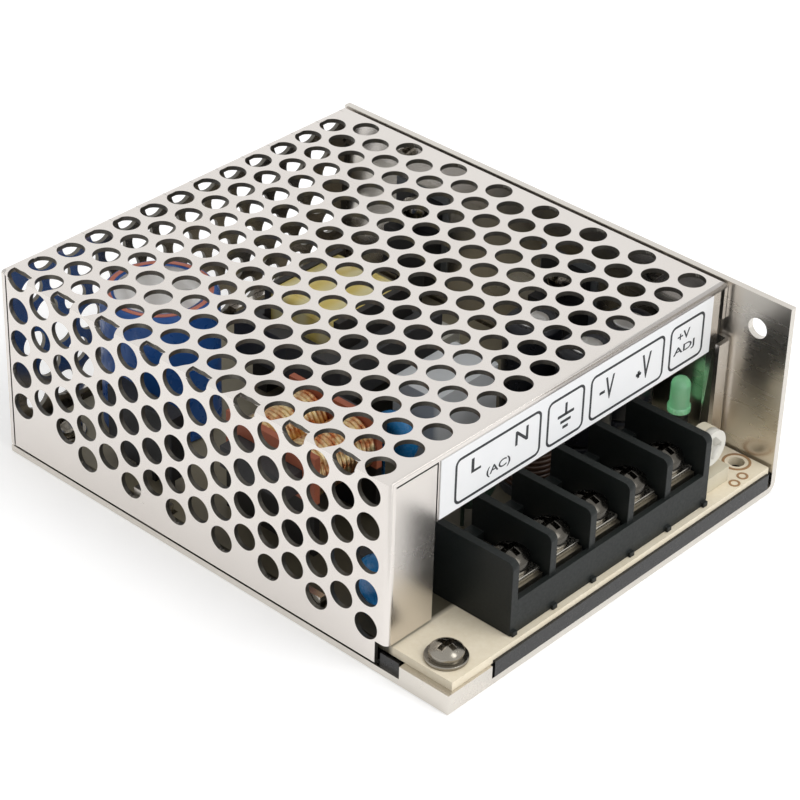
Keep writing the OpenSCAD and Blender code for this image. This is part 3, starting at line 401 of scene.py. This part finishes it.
# %% Where the resist begins
along = add(tree, "SeparateXYZ", links={"Vector": place.outputs["Object"]})
zones = {}
for zone, direction, start, end in (
    # the resist's painted shade fades out between these two depths
    ("shade_fading", "Y", -8.0, 18.0),
    ("behind_block", "Y", -37.0, -36.0),
    ("behind_lamp", "Y", -24.0, -21.0),
    ("beside_block", "X", 23.5, 24.5),
):
    zones[zone] = add(tree, "MapRange", links={"Value": along.outputs[direction]},
                      values={"From Min": start * MM, "From Max": end * MM}).outputs[0]
resist = add(tree, "Mix", data_type="RGBA",
             links={"Factor": zones["shade_fading"], "A": layers["front_resist_painted_shade"], "B": layers["back_resist"]})
inward = add(tree, "Mix", data_type="FLOAT",
             links={"Factor": zones["beside_block"], "A": zones["behind_block"], "B": zones["behind_lamp"]})
tone = add(tree, "Mix", data_type="RGBA",
           links={"Factor": inward.outputs[0], "A": layers["bare"], "B": resist.outputs[2]})
rough = add(tree, "MapRange", links={"Value": flecks.outputs["Fac"]}, values={"To Min": 0.4, "To Max": 0.55})
bump = add(tree, "Bump", links={"Height": flecks.outputs["Fac"]},
           values={"Strength": 0.2, "Distance": 0.02 * MM})
shader = add(tree, "BsdfPrincipled",
             links={"Base Color": tone.outputs[2], "Roughness": rough.outputs[0],
                    "Normal": bump.outputs[0]})
close_material(tree, shader)
finishes["circuit_board"] = board
print(board.name)

# %% Coil former with painted shade at its foot
# moulded salmon nylon: half matt; below a sharp line it is painted near-black as shade
shade_top, shade_blend = 15.0 * MM, 0.2 * MM
patch_width = 4
former, tree = new_material("salmon_nylon_painted_shade")
place = add(tree, "TexCoord")
patches = add(tree, "TexNoise", links={"Vector": place.outputs["Object"]},
              values={"Scale": per_mm(patch_width), "Detail": 3})
flange = add(tree, "Mix", data_type="RGBA", links={"Factor": patches.outputs["Fac"]},
             values={"A": ink("#C27458"), "B": ink("#AF6148")})
painted_shade = add(tree, "Mix", data_type="RGBA", links={"Factor": patches.outputs["Fac"]},
           values={"A": ink("#1B1A19"), "B": ink("#262422")})
along = add(tree, "SeparateXYZ", links={"Vector": place.outputs["Object"]})
above_shade = add(tree, "MapRange", links={"Value": along.outputs["Z"]},
                 values={"From Min": shade_top - shade_blend / 2, "From Max": shade_top + shade_blend / 2})
tone = add(tree, "Mix", data_type="RGBA",
           links={"Factor": above_shade.outputs[0], "A": painted_shade.outputs[2], "B": flange.outputs[2]})
rough = add(tree, "MapRange", links={"Value": patches.outputs["Fac"]},
            values={"To Min": 0.42, "To Max": 0.54})
shader = add(tree, "BsdfPrincipled", links={"Base Color": tone.outputs[2], "Roughness": rough.outputs[0]})
close_material(tree, shader)
finishes["filter_bobbin"] = former
print(former.name)

# %% Yellow winding tape
# clear polyester film: pale yellow and glossy, with a faint step at each turn
# (at a scale of 1 the bands of a wave texture lie a twentieth of tau apart)
turn_width = 5.2
tape, tree = new_material("yellow_polyester_tape")
place = add(tree, "TexCoord")
turns = add(tree, "TexWave", links={"Vector": place.outputs["Object"]}, bands_direction="Y",
            values={"Scale": math.tau / 20 * per_mm(turn_width), "Distortion": 0.6, "Detail": 1,
                    "Detail Scale": 4})
tone = add(tree, "Mix", data_type="RGBA", links={"Factor": turns.outputs["Fac"]},
           values={"A": ink("#F2DA77"), "B": ink("#FBEFB4")})
bump = add(tree, "Bump", links={"Height": turns.outputs["Fac"]},
           values={"Strength": 0.4, "Distance": 0.06 * MM})
shader = add(tree, "BsdfPrincipled", values={"Roughness": 0.26, "Coat Weight": 0.3},
             links={"Base Color": tone.outputs[2], "Normal": bump.outputs[0]})
close_material(tree, shader)
finishes["transformer_winding"] = tape
print(tape.name)

# %% Lacquered copper wire
# lacquered copper: warm and bright, with paler spots where the wire catches the light
spot_width = 1.6
copper, tree = new_material("lacquered_copper_wire")
place = add(tree, "TexCoord")
spots = add(tree, "TexNoise", links={"Vector": place.outputs["Object"]},
            values={"Scale": per_mm(spot_width), "Detail": 3})
tone = add(tree, "ValToRGB", links={"Fac": spots.outputs["Fac"]})
for stop, position, colour in zip(tone.color_ramp.elements, (0.36, 0.6), ("#C67A48", "#F4DCA8")):
    stop.position = position
    stop.color = ink(colour)
rough = add(tree, "MapRange", links={"Value": spots.outputs["Fac"]}, values={"To Min": 0.2, "To Max": 0.4})
shader = add(tree, "BsdfPrincipled", values={"Metallic": 1, "Coat Weight": 0.4},
             links={"Base Color": tone.outputs[0], "Roughness": rough.outputs[0]})
close_material(tree, shader)
finishes["filter_coils"] = copper
# thicker wire under a dark brown enamel
finishes["output_inductor_coil"] = mottled("dark_enamelled_wire", ("#3B2A20", "#4C3628"), 0.6, 0.35)
print(copper.name)

# %% Tinted lamp resin
# cast epoxy: clear, tinted green and slightly hazy, with a faint painted glow for the light in its bay
haze_width = 2.2
resin, tree = new_material("green_tinted_epoxy_resin")
place = add(tree, "TexCoord")
haze = add(tree, "TexNoise", links={"Vector": place.outputs["Object"]},
           values={"Scale": per_mm(haze_width), "Detail": 2})
tone = add(tree, "Mix", data_type="RGBA", links={"Factor": haze.outputs["Fac"]},
           values={"A": ink("#B4EBC4"), "B": ink("#DDF8E3")})
clear = add(tree, "MapRange", links={"Value": haze.outputs["Fac"]}, values={"To Min": 0.1, "To Max": 0.16})
# the faint emission is painted light, standing in for the light that falls on the lamp in its bay
shader = add(tree, "BsdfPrincipled",
             values={"IOR": 1.53, "Transmission Weight": 0.55, "Subsurface Weight": 0.3,
                     "Subsurface Radius": (0.6 * MM, 1.2 * MM, 0.8 * MM),
                     "Emission Color": ink("#8ADFA6"), "Emission Strength": 0.12},
             links={"Base Color": tone.outputs[2], "Roughness": clear.outputs[0]})
close_material(tree, shader)
finishes["power_lamp"] = resin
print(resin.name)

# %% Put every finish on its node
for node, finish in finishes.items():
    nodes[node].data.materials.clear()
    nodes[node].data.materials.append(finish)
print("dressed:", len(finishes), "of", len(nodes))

# %% [markdown]
# ## Smooth and softened copies
# A CAD node is loose triangles, so round parts look faceted and moulded edges are perfectly sharp. They
# could be modelled again, but a copy keeps the size exactly: its triangles are merged, and it is shaded
# smooth. On moulded and pressed parts the copy also gets a bevel of one to three tenths of a millimetre,
# the radius that catches the light on the real one. It rides on the same body as its node.

# %% Selecting and shading
CORNER_ANGLE = math.radians(30)


def select_only(piece):
    """Makes this piece the active one, and the only one selected."""
    bpy.ops.object.select_all(action="DESELECT")
    piece.select_set(True)
    bpy.context.view_layer.objects.active = piece


def edit_all():
    """Goes into edit mode with the whole mesh selected."""
    bpy.ops.object.mode_set(mode="EDIT")
    bpy.ops.mesh.select_all(action="SELECT")


def shade_curves(piece):
    """Shades curves smooth, keeps corners sharp, and lets large flat faces stay flat up to a fold."""
    bpy.ops.object.shade_smooth_by_angle(angle=CORNER_ANGLE)
    flats = piece.modifiers.new("flat_faces", "WEIGHTED_NORMAL")
    flats.keep_sharp = True
    bpy.ops.object.modifier_apply(modifier=flats.name)


print("corners from", round(math.degrees(CORNER_ANGLE)), "degrees stay sharp")

# %% Merged copies
MERGE_GAP = 0.002 * MM


def smooth_copy(node):
    """A piece of its own with the node's shape, its triangles merged and its curves shaded smooth."""
    source = nodes[node]
    piece = source.copy()
    piece.data = source.data.copy()
    piece.name = piece.data.name = node + "_dressed"
    piece.parent = None
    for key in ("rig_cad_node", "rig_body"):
        del piece[key]
    bpy.context.scene.collection.objects.link(piece)
    select_only(piece)
    edit_all()
    bpy.ops.mesh.remove_doubles(threshold=MERGE_GAP)
    bpy.ops.object.mode_set(mode="OBJECT")
    shade_curves(piece)
    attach(piece, source["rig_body"])
    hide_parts(node)
    return piece


for node in (
    "power_lamp", "bulk_capacitor", "output_capacitors", "filter_coils", "output_inductor_coil",
    "disc_capacitors", "inrush_thermistor", "transformer_winding", "lamp_spacer", "trimmer_rotor",
):
    print("smoothed", smooth_copy(node).name)

# %% Softened copies
FLAT_ANGLE = math.radians(0.5)
BEVEL_ANGLE = math.radians(35)


def soft_copy(node, width, segments=2):
    """A smooth copy whose sharp edges are rounded by a bevel of that many millimetres."""
    piece = smooth_copy(node)
    edit_all()
    bpy.ops.mesh.dissolve_limited(angle_limit=FLAT_ANGLE)
    bpy.ops.object.mode_set(mode="OBJECT")
    bevel = piece.modifiers.new("soft_edge", "BEVEL")
    bevel.width = width * MM
    bevel.segments = segments
    bevel.limit_method = "ANGLE"
    bevel.angle_limit = BEVEL_ANGLE
    bpy.ops.object.modifier_apply(modifier=bevel.name)
    shade_curves(piece)
    return piece


moulded_edge, pressed_edge, small_edge = 0.25, 0.12, 0.15
softened = [soft_copy("terminal_body", moulded_edge, 3)]
for way in range(1, 6):
    softened.append(soft_copy(f"terminal_screw_{way}", pressed_edge))
    softened.append(soft_copy(f"clamp_washer_{way}", pressed_edge))
for node in ("board_screws", "board_washers", "line_capacitor", "trimmer_body", "transformer_core"):
    softened.append(soft_copy(node, small_edge))
print("softened:", len(softened))

# %% [markdown]
# ## The film's front lip
# The black film is folded up along the front, and its lip stops just under the board's upper edge, so
# a line of cream board shows above it. A new sheet could be folded up, but only one edge has to move:
# the lip's upper edge is chosen by its place and drawn down.

# %% Lower the lip
def select_none():
    """Leaves nothing of the active mesh selected."""
    bpy.ops.object.mode_set(mode="EDIT")
    bpy.ops.mesh.select_all(action="DESELECT")
    bpy.ops.object.mode_set(mode="OBJECT")


lip_drop = 0.95 * MM
margin = 0.1 * MM
film = smooth_copy("insulating_sheet")
lip_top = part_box("insulating_sheet")[1].z
board_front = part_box("circuit_board")[0].y
select_none()
for vertex in film.data.vertices:
    in_front = vertex.co.y < board_front + margin
    vertex.select = in_front and vertex.co.z > lip_top - margin
bpy.ops.object.mode_set(mode="EDIT")
bpy.ops.transform.translate(value=(0, 0, -lip_drop))
bpy.ops.object.mode_set(mode="OBJECT")
print("lip points:", sum(vertex.select for vertex in film.data.vertices))

# %% [markdown]
# ## The cover's back fold
# On the real cover the fold along the back is plain, and the holes end at it. The CAD sheet has a row of
# holes that runs on over it. They could be filled one by one, but a bent strip a hair thinner than the
# sheet closes them all: its foot is drawn up the back wall, spun round the fold and drawn forward along
# the top, and a union makes it one with the cover.

# %% Bend the strip
def apply_place():
    """Puts the selected object's place, turn and scale into its mesh."""
    bpy.ops.object.transform_apply(location=True, rotation=True, scale=True)


def start_shape(primitive, size, **where):
    """A primitive of that size, with its place in its mesh, as the start of a piece."""
    bpy.ops.object.select_all(action="DESELECT")
    primitive(size=1, **where)
    shape = bpy.context.object
    shape.scale = size
    apply_place()
    return shape


low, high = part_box("cover")
fold_radius = 1.1 * MM
sheet_thick = 0.8 * MM
hair = 0.02 * MM
bend_ends = (-35.4 * MM, 38.4 * MM)
bend_foot = 34.8 * MM
bend_reach = 0.55 * MM
bend_axis = Vector((0, high.y - fold_radius, high.z - fold_radius))
bent_strip = start_shape(
    bpy.ops.mesh.primitive_plane_add, (bend_ends[1] - bend_ends[0], sheet_thick - 2 * hair, 1),
    location=(sum(bend_ends) / 2, high.y - sheet_thick / 2, bend_foot))
edit_all()
bpy.ops.mesh.extrude_region_move(TRANSFORM_OT_translate={"value": (0, 0, bend_axis.z - bend_foot)})
bpy.ops.mesh.spin(steps=8, angle=math.radians(-90), center=bend_axis, axis=(1, 0, 0))
bpy.ops.mesh.extrude_region_move(TRANSFORM_OT_translate={"value": (0, -bend_reach, 0)})
bpy.ops.mesh.select_all(action="SELECT")
bpy.ops.mesh.normals_make_consistent(inside=False)
bpy.ops.object.mode_set(mode="OBJECT")
print("strip faces:", len(bent_strip.data.polygons))

# %% Close the fold
def combine(piece, tool, operation):
    """Adds the tool's shape to the piece or cuts it out, and removes the tool."""
    select_only(piece)
    change = piece.modifiers.new("combine", "BOOLEAN")
    change.operation = operation
    change.object = tool
    bpy.ops.object.modifier_apply(modifier=change.name)
    bpy.data.objects.remove(tool)


cover = smooth_copy("cover")
combine(cover, bent_strip, "UNION")
shade_curves(cover)
print("cover faces:", len(cover.data.polygons))

# %% [markdown]
# ## Sheared edges of the cover
# The holes and edges of the cover were cut after plating, so their narrow walls are bare steel, darker
# and rougher than the faces. They show as the thin dark arc inside each hole. There are too many to
# choose by hand, but a face that lies part of the way through the sheet can only be such a wall, so the
# copy of the cover is searched for faces by their depth under the outer skin.

# %% Depth under the skin
front_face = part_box("terminal_label")[1].y
sides = (
    (Vector((-1, 0, 0)), -low.x),
    (Vector((1, 0, 0)), high.x),
    (Vector((0, -1, 0)), -front_face),
    (Vector((0, 1, 0)), high.y),
    (Vector((0, 0, 1)), high.z),
)


def skin(point):
    """How deep a point lies under the cover's outer skin, and which way the skin faces there."""
    (first, out), (second, other) = sorted((limit - face.dot(point), face[:]) for face, limit in sides)[:2]
    if second >= fold_radius:
        return first, Vector(out)
    lean = Vector(out) * (fold_radius - first) + Vector(other) * (fold_radius - second)
    return fold_radius - lean.length, lean.normalized()


print("depth at the cover's top:", skin(Vector((0, 0, high.z)))[0])

# %% Dark walls in the holes
# sheared steel: torn, grey and dull
sheared = mottled("sheared_steel_edge", ("#7E7B74", "#5E5B55"), 0.3, 0.5, 0.02, patch=1.5, Metallic=1)
cover.data.materials.append(sheared)
least, most = 0.12 * MM, 0.68 * MM
walls = [face for face in cover.data.polygons if least < skin(face.center)[0] < most]
for face in walls:
    face.material_index = 1
print("sheared faces:", len(walls), "of", len(cover.data.polygons))

# %% [markdown]
# ## Clean shading on the folds
# The holes break each fold into slivers, and smooth shading makes such slivers blotchy. The true
# direction of a fold is known: it points from the fold's axis to its skin. So the corners of each
# folded face are given that direction, and flat faces keep their own.

# %% Directions of flats and folds
straight = 0.9998
directions = [corner.vector.copy() for corner in cover.data.corner_normals]
folded = 0
for face in cover.data.polygons:
    if face.material_index == 1:
        continue
    is_flat = max(abs(part) for part in face.normal) > straight
    is_fold = not is_flat and skin(face.center)[0] > -margin
    folded += is_fold
    for corner, vertex in zip(face.loop_indices, face.vertices):
        out = skin(cover.data.vertices[vertex].co)[1]
        if is_flat:
            directions[corner] = face.normal.copy()
        elif is_fold:
            directions[corner] = out if out.dot(face.normal) > 0 else -out
cover.data.normals_split_custom_set(directions)
print("folded faces:", folded)

# %% [markdown]
# ## Printing on the strip
# The strip names the five terminals and the trimmer in round-cornered boxes: the supply's L and N, the
# earth sign, the output's two poles and the adjuster. An image could do this, but real geometry stays
# sharp at any size: each sign is a flat mesh on the strip's face, and one Solidify gives them all the
# thickness of a print.

# %% Boxes
strip_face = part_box("terminal_label")[0].y
upright_turn = (math.radians(90), 0, 0)
box_span = (25.0, 33.4)
box_corner = 1.3
box_line = 0.46
box_gap = 1.4
signs = []


def rounded_bar(x, z, corner):
    """A rectangle on the strip with rounded corners, left in edit mode with its face selected."""
    middle = ((x[0] + x[1]) / 2 * MM, strip_face, (z[0] + z[1]) / 2 * MM)
    size = ((x[1] - x[0]) * MM, (z[1] - z[0]) * MM, 1)
    signs.append(start_shape(bpy.ops.mesh.primitive_plane_add, size, location=middle, rotation=upright_turn))
    edit_all()
    bpy.ops.mesh.bevel(offset=corner * MM, segments=6, affect="VERTICES")
    bpy.ops.mesh.select_all(action="SELECT")


def print_box(x):
    """The outline of a rounded box: the bar is inset, and its middle is deleted."""
    rounded_bar(x, box_span, box_corner)
    bpy.ops.mesh.inset(thickness=box_line * MM)
    bpy.ops.mesh.delete(type="FACE")
    bpy.ops.object.mode_set(mode="OBJECT")


left = -27.1
# the boxes of the supply, the earth, the output and the adjuster
for width in (19.9, 9.0, 18.7, 9.0):
    print_box((left, left + width))
    left += width + box_gap
print("boxes:", len(signs))

# %% Words
boldness = 0.012


def print_word(word, x, z):
    """Letters that fill the spans x and z of the strip, in millimetres."""
    bpy.ops.object.select_all(action="DESELECT")
    bpy.ops.object.text_add()
    bpy.context.object.data.body = word
    bpy.context.object.data.offset = boldness
    bpy.ops.object.convert(target="MESH")
    letters = bpy.context.object
    wide = [v.co.x for v in letters.data.vertices]
    tall = [v.co.y for v in letters.data.vertices]
    letters.scale.x = (x[1] - x[0]) * MM / (max(wide) - min(wide))
    letters.scale.y = (z[1] - z[0]) * MM / (max(tall) - min(tall))
    letters.rotation_euler = upright_turn
    letters.location = (x[0] * MM - min(wide) * letters.scale.x, strip_face,
                        z[0] * MM - min(tall) * letters.scale.y)
    select_only(letters)
    apply_place()
    signs.append(letters)


print_word("L", (-23.4, -21.2), (29.3, 31.9))
print_word("N", (-13.3, -10.3), (29.3, 31.9))
print_word("(AC)", (-19.8, -14.3), (26.5, 28.4))
print_word("V", (8.4, 10.6), (27.4, 31.7))
print_word("V", (17.6, 19.9), (27.0, 31.7))
print_word("+V", (26.7, 29.9), (30.0, 31.7))
print_word("ADJ", (25.9, 31.4), (27.2, 29.0))
print("boxes and words:", len(signs))

# %% Poles and the earth sign
bar_corner = 0.08
half_stroke = 0.26
half_pole = 0.65


def print_bar(x, z):
    """A plain bar with slightly rounded corners."""
    rounded_bar(x, z, bar_corner)
    bpy.ops.object.mode_set(mode="OBJECT")


earth = -1.25
minus, plus = (7.65, 29.3), (16.85, 28.5)
for half, height in ((1.95, 29.6), (1.25, 28.4), (0.65, 27.3)):
    print_bar((earth - half, earth + half), (height - half_stroke, height + half_stroke))
for middle, height in (minus, plus):
    print_bar((middle - half_pole, middle + half_pole), (height - half_stroke, height + half_stroke))
for middle, span in ((earth, (29.6, 31.7)), (plus[0], (plus[1] - half_pole, plus[1] + half_pole))):
    print_bar((middle - half_stroke, middle + half_stroke), span)
print("signs:", len(signs))

# %% Join the print and give it thickness
# screen-printed ink: nearly black, with a dry, slightly uneven surface
strip_ink = mottled("screen_printed_ink", ("#1F2124", "#2B2E31"), 0.3, 0.55, 0.004, patch=3.0)


def settle(piece, name, finish):
    """Names a finished piece, applies its place, gives it its finish and lets it ride on the supply."""
    select_only(piece)
    apply_place()
    bpy.ops.object.shade_smooth_by_angle(angle=CORNER_ANGLE)
    piece.name = piece.data.name = name
    piece.data.materials.clear()
    piece.data.materials.append(finish)
    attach(piece, "supply")


def join(parts):
    """One piece from several."""
    select_only(parts[0])
    for part in parts:
        part.select_set(True)
    bpy.ops.object.join()
    return bpy.context.object


ink_depth = 0.03 * MM
strip_print = join(signs)
coat = strip_print.modifiers.new("ink_thickness", "SOLIDIFY")
coat.thickness = ink_depth
coat.offset = 1
bpy.ops.object.modifier_apply(modifier=coat.name)
settle(strip_print, "strip_print", strip_ink)
print("print faces:", len(strip_print.data.polygons))

# %% [markdown]
# ## Turned rings
# Copper pads ring the free hole and two joints at the board's right corner, and a red varnished ring
# lies on the rim of the big capacitor. Discs with a hole cut out would do, but turning gives all the
# edges their softness at once: a small upright rectangle loses its corners and its face, and its
# outline is spun once round.

# %% A turned ring
softening = 0.3


def turned_ring(centre, inner, outer, base, thick):
    """A flat ring round a vertical axis, in millimetres."""
    middle = Vector((centre[0] + (inner + outer) / 2, centre[1], base + thick / 2)) * MM
    size = ((outer - inner) * MM, thick * MM, 1)
    ring = start_shape(bpy.ops.mesh.primitive_plane_add, size, location=middle, rotation=upright_turn)
    edit_all()
    bpy.ops.mesh.bevel(offset=thick * softening * MM, segments=2, affect="VERTICES")
    bpy.ops.mesh.select_all(action="SELECT")
    bpy.ops.mesh.delete(type="ONLY_FACE")
    bpy.ops.mesh.select_all(action="SELECT")
    bpy.ops.mesh.spin(steps=48, angle=math.tau, center=(centre[0] * MM, centre[1] * MM, 0), axis=(0, 0, 1))
    bpy.ops.mesh.select_all(action="SELECT")
    bpy.ops.mesh.remove_doubles(threshold=MERGE_GAP)
    bpy.ops.mesh.normals_make_consistent(inside=False)
    bpy.ops.object.mode_set(mode="OBJECT")
    return ring


print("edges softened by", softening, "of the thickness")

# %% Pads and the capacitor's ring
# bare copper that has browned: dull and warm
browned = mottled("browned_copper_pad", ("#B08D66", "#967351"), 0.5, 0.45, 0.02)
# varnished fibre: warm orange red with a dull gloss
varnished = mottled("red_varnished_fibre", ("#E2907A", "#D67C66"), 0.5, 0.4)
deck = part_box("circuit_board")[1].z / MM
copper_depth = 0.06
pads = join([
    turned_ring((36.8, -44.2), 2.0, 2.5, deck, copper_depth),
    turned_ring((34.2, -47.4), 0.6, 1.0, deck, copper_depth),
    turned_ring((31.6, -47.7), 0.6, 1.0, deck, copper_depth),
])
settle(pads, "corner_pads", browned)
can_low, can_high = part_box("bulk_capacitor")
can_axis = ((can_low.x + can_high.x) / 2 / MM, (can_low.y + can_high.y) / 2 / MM)
can_top = can_high.z / MM
red_ring = turned_ring(can_axis, inner=8.12, outer=8.95, base=can_top, thick=0.12)
settle(red_ring, "capacitor_ring", varnished)
print("rings done, capacitor top at", round(can_top, 2), "mm")

# %% [markdown]
# ## Aluminium tops of the cans
# Each capacitor's sleeve leaves the can's aluminium end bare. A cross is scored in it, so that it opens
# there first if the can bursts. A bump could draw the cross, but a real groove also stays in the mesh: a
# disc gets a soft rim by a bevel of its upper edge, and two thin bars are subtracted from it.

# %% A scored disc
end_sunk = 0.35
end_thick = 0.3
end_rim = 0.12
score_width, score_height = 0.35, 0.2
# length of a score, as a share of the disc's radius
score_share = 1.4


def scored_disc(axis, radius, can_end):
    """A thin disc sunk in the end of a can, with a cross scored in it, in millimetres."""
    base = can_end - end_sunk
    bpy.ops.object.select_all(action="DESELECT")
    middle = Vector((axis[0], axis[1], base + end_thick / 2)) * MM
    bpy.ops.mesh.primitive_cylinder_add(
        vertices=64, radius=radius * MM, depth=end_thick * MM, location=middle)
    disc = bpy.context.object
    apply_place()
    upper = (base + end_thick * 0.9) * MM
    for edge in disc.data.edges:
        edge.select = all(disc.data.vertices[v].co.z > upper for v in edge.vertices)
    for vertex in disc.data.vertices:
        vertex.select = vertex.co.z > upper
    for face in disc.data.polygons:
        face.select = face.normal.z > 0.9
    bpy.ops.object.mode_set(mode="EDIT")
    bpy.ops.mesh.bevel(offset=end_rim * MM, segments=2, affect="EDGES")
    bpy.ops.object.mode_set(mode="OBJECT")
    for turned in (45, 135):
        groove = start_shape(
            bpy.ops.mesh.primitive_cube_add, (radius * score_share * MM, score_width * MM, score_height * MM),
            location=(middle.x, middle.y, (base + end_thick) * MM), rotation=(0, 0, math.radians(turned)))
        combine(disc, groove, "DIFFERENCE")
    return disc


print("score", score_width, "mm wide and", score_height / 2, "mm deep")

# %% Ends of the four cans
# rolled aluminium: pale, soft and slightly brushed
aluminium = mottled("rolled_aluminium_end", ("#F3F2F0", "#E2E1DF"), 0.5, 0.36, 0.01, Metallic=1)
big_end_radius, small_end_radius = 7.6, 2.7
settle(scored_disc(can_axis, big_end_radius, can_top), "bulk_capacitor_end", aluminium)
bank_low, bank_high = (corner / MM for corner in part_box("output_capacitors"))
can_radius = 5.0
near_x, far_x = bank_low.x + can_radius, bank_high.x - can_radius
near_y, far_y = bank_low.y + can_radius, bank_high.y - can_radius
small_ends = join([
    scored_disc(axis, small_end_radius, bank_high.z)
    for axis in ((near_x, near_y), (far_x, near_y), (near_x, far_y))
])
settle(small_ends, "output_capacitor_ends", aluminium)
print("faces of the small ends:", len(small_ends.data.polygons))

# %% [markdown]
# ## Inside the lamp
# A light-emitting diode shows its two posts through the resin: a thick one with a cup for the chip and a
# thin one for the bond wire. They could be plain pins, but the lamp would look empty at its head. Each
# starts as a slim block, and its top face is extruded, widened, inset and sunk.

# %% Posts in the lamp
lamp_low, lamp_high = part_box("power_lamp")
lamp_axis = Vector(((lamp_low.x + lamp_high.x) / 2, (lamp_low.y + lamp_high.y) / 2, lamp_low.z))
post_lift = 0.2
post_thick = 0.5
head_height = 0.7
cup_wall, cup_depth = 0.12, 0.2


def lamp_post(offset, width, height, spread):
    """A post that stands beside the lamp's axis and widens at its head, in millimetres."""
    middle = lamp_axis + Vector((offset, 0, post_lift + height / 2)) * MM
    size = (width * MM, post_thick * MM, height * MM)
    post = start_shape(bpy.ops.mesh.primitive_cube_add, size, location=middle)
    select_none()
    for face in post.data.polygons:
        face.select = face.normal.z > 0.9
    bpy.ops.object.mode_set(mode="EDIT")
    head = (middle.x, middle.y, middle.z + (height / 2 + head_height) * MM)
    bpy.ops.mesh.extrude_region_move(TRANSFORM_OT_translate={"value": (0, 0, head_height * MM)})
    bpy.ops.transform.resize(value=(spread, spread, 1), center_override=head)
    bpy.ops.mesh.inset(thickness=cup_wall * MM)
    bpy.ops.transform.translate(value=(0, 0, -cup_depth * MM))
    bpy.ops.object.mode_set(mode="OBJECT")
    return post


posts = join([
    lamp_post(offset=-0.45, width=0.5, height=2.0, spread=1.5),
    lamp_post(offset=0.5, width=0.35, height=2.3, spread=1.15),
])
# tinned steel: bright and slightly lumpy
tinned = mottled("tinned_steel_post", ("#D9D5CB", "#BBB7AC"), 0.5, 0.3, 0.02, Metallic=1)
settle(posts, "lamp_posts", tinned)
print("posts:", len(posts.data.polygons), "faces")

# %% Set the view transform
bpy.context.scene.view_settings.view_transform = "Standard"
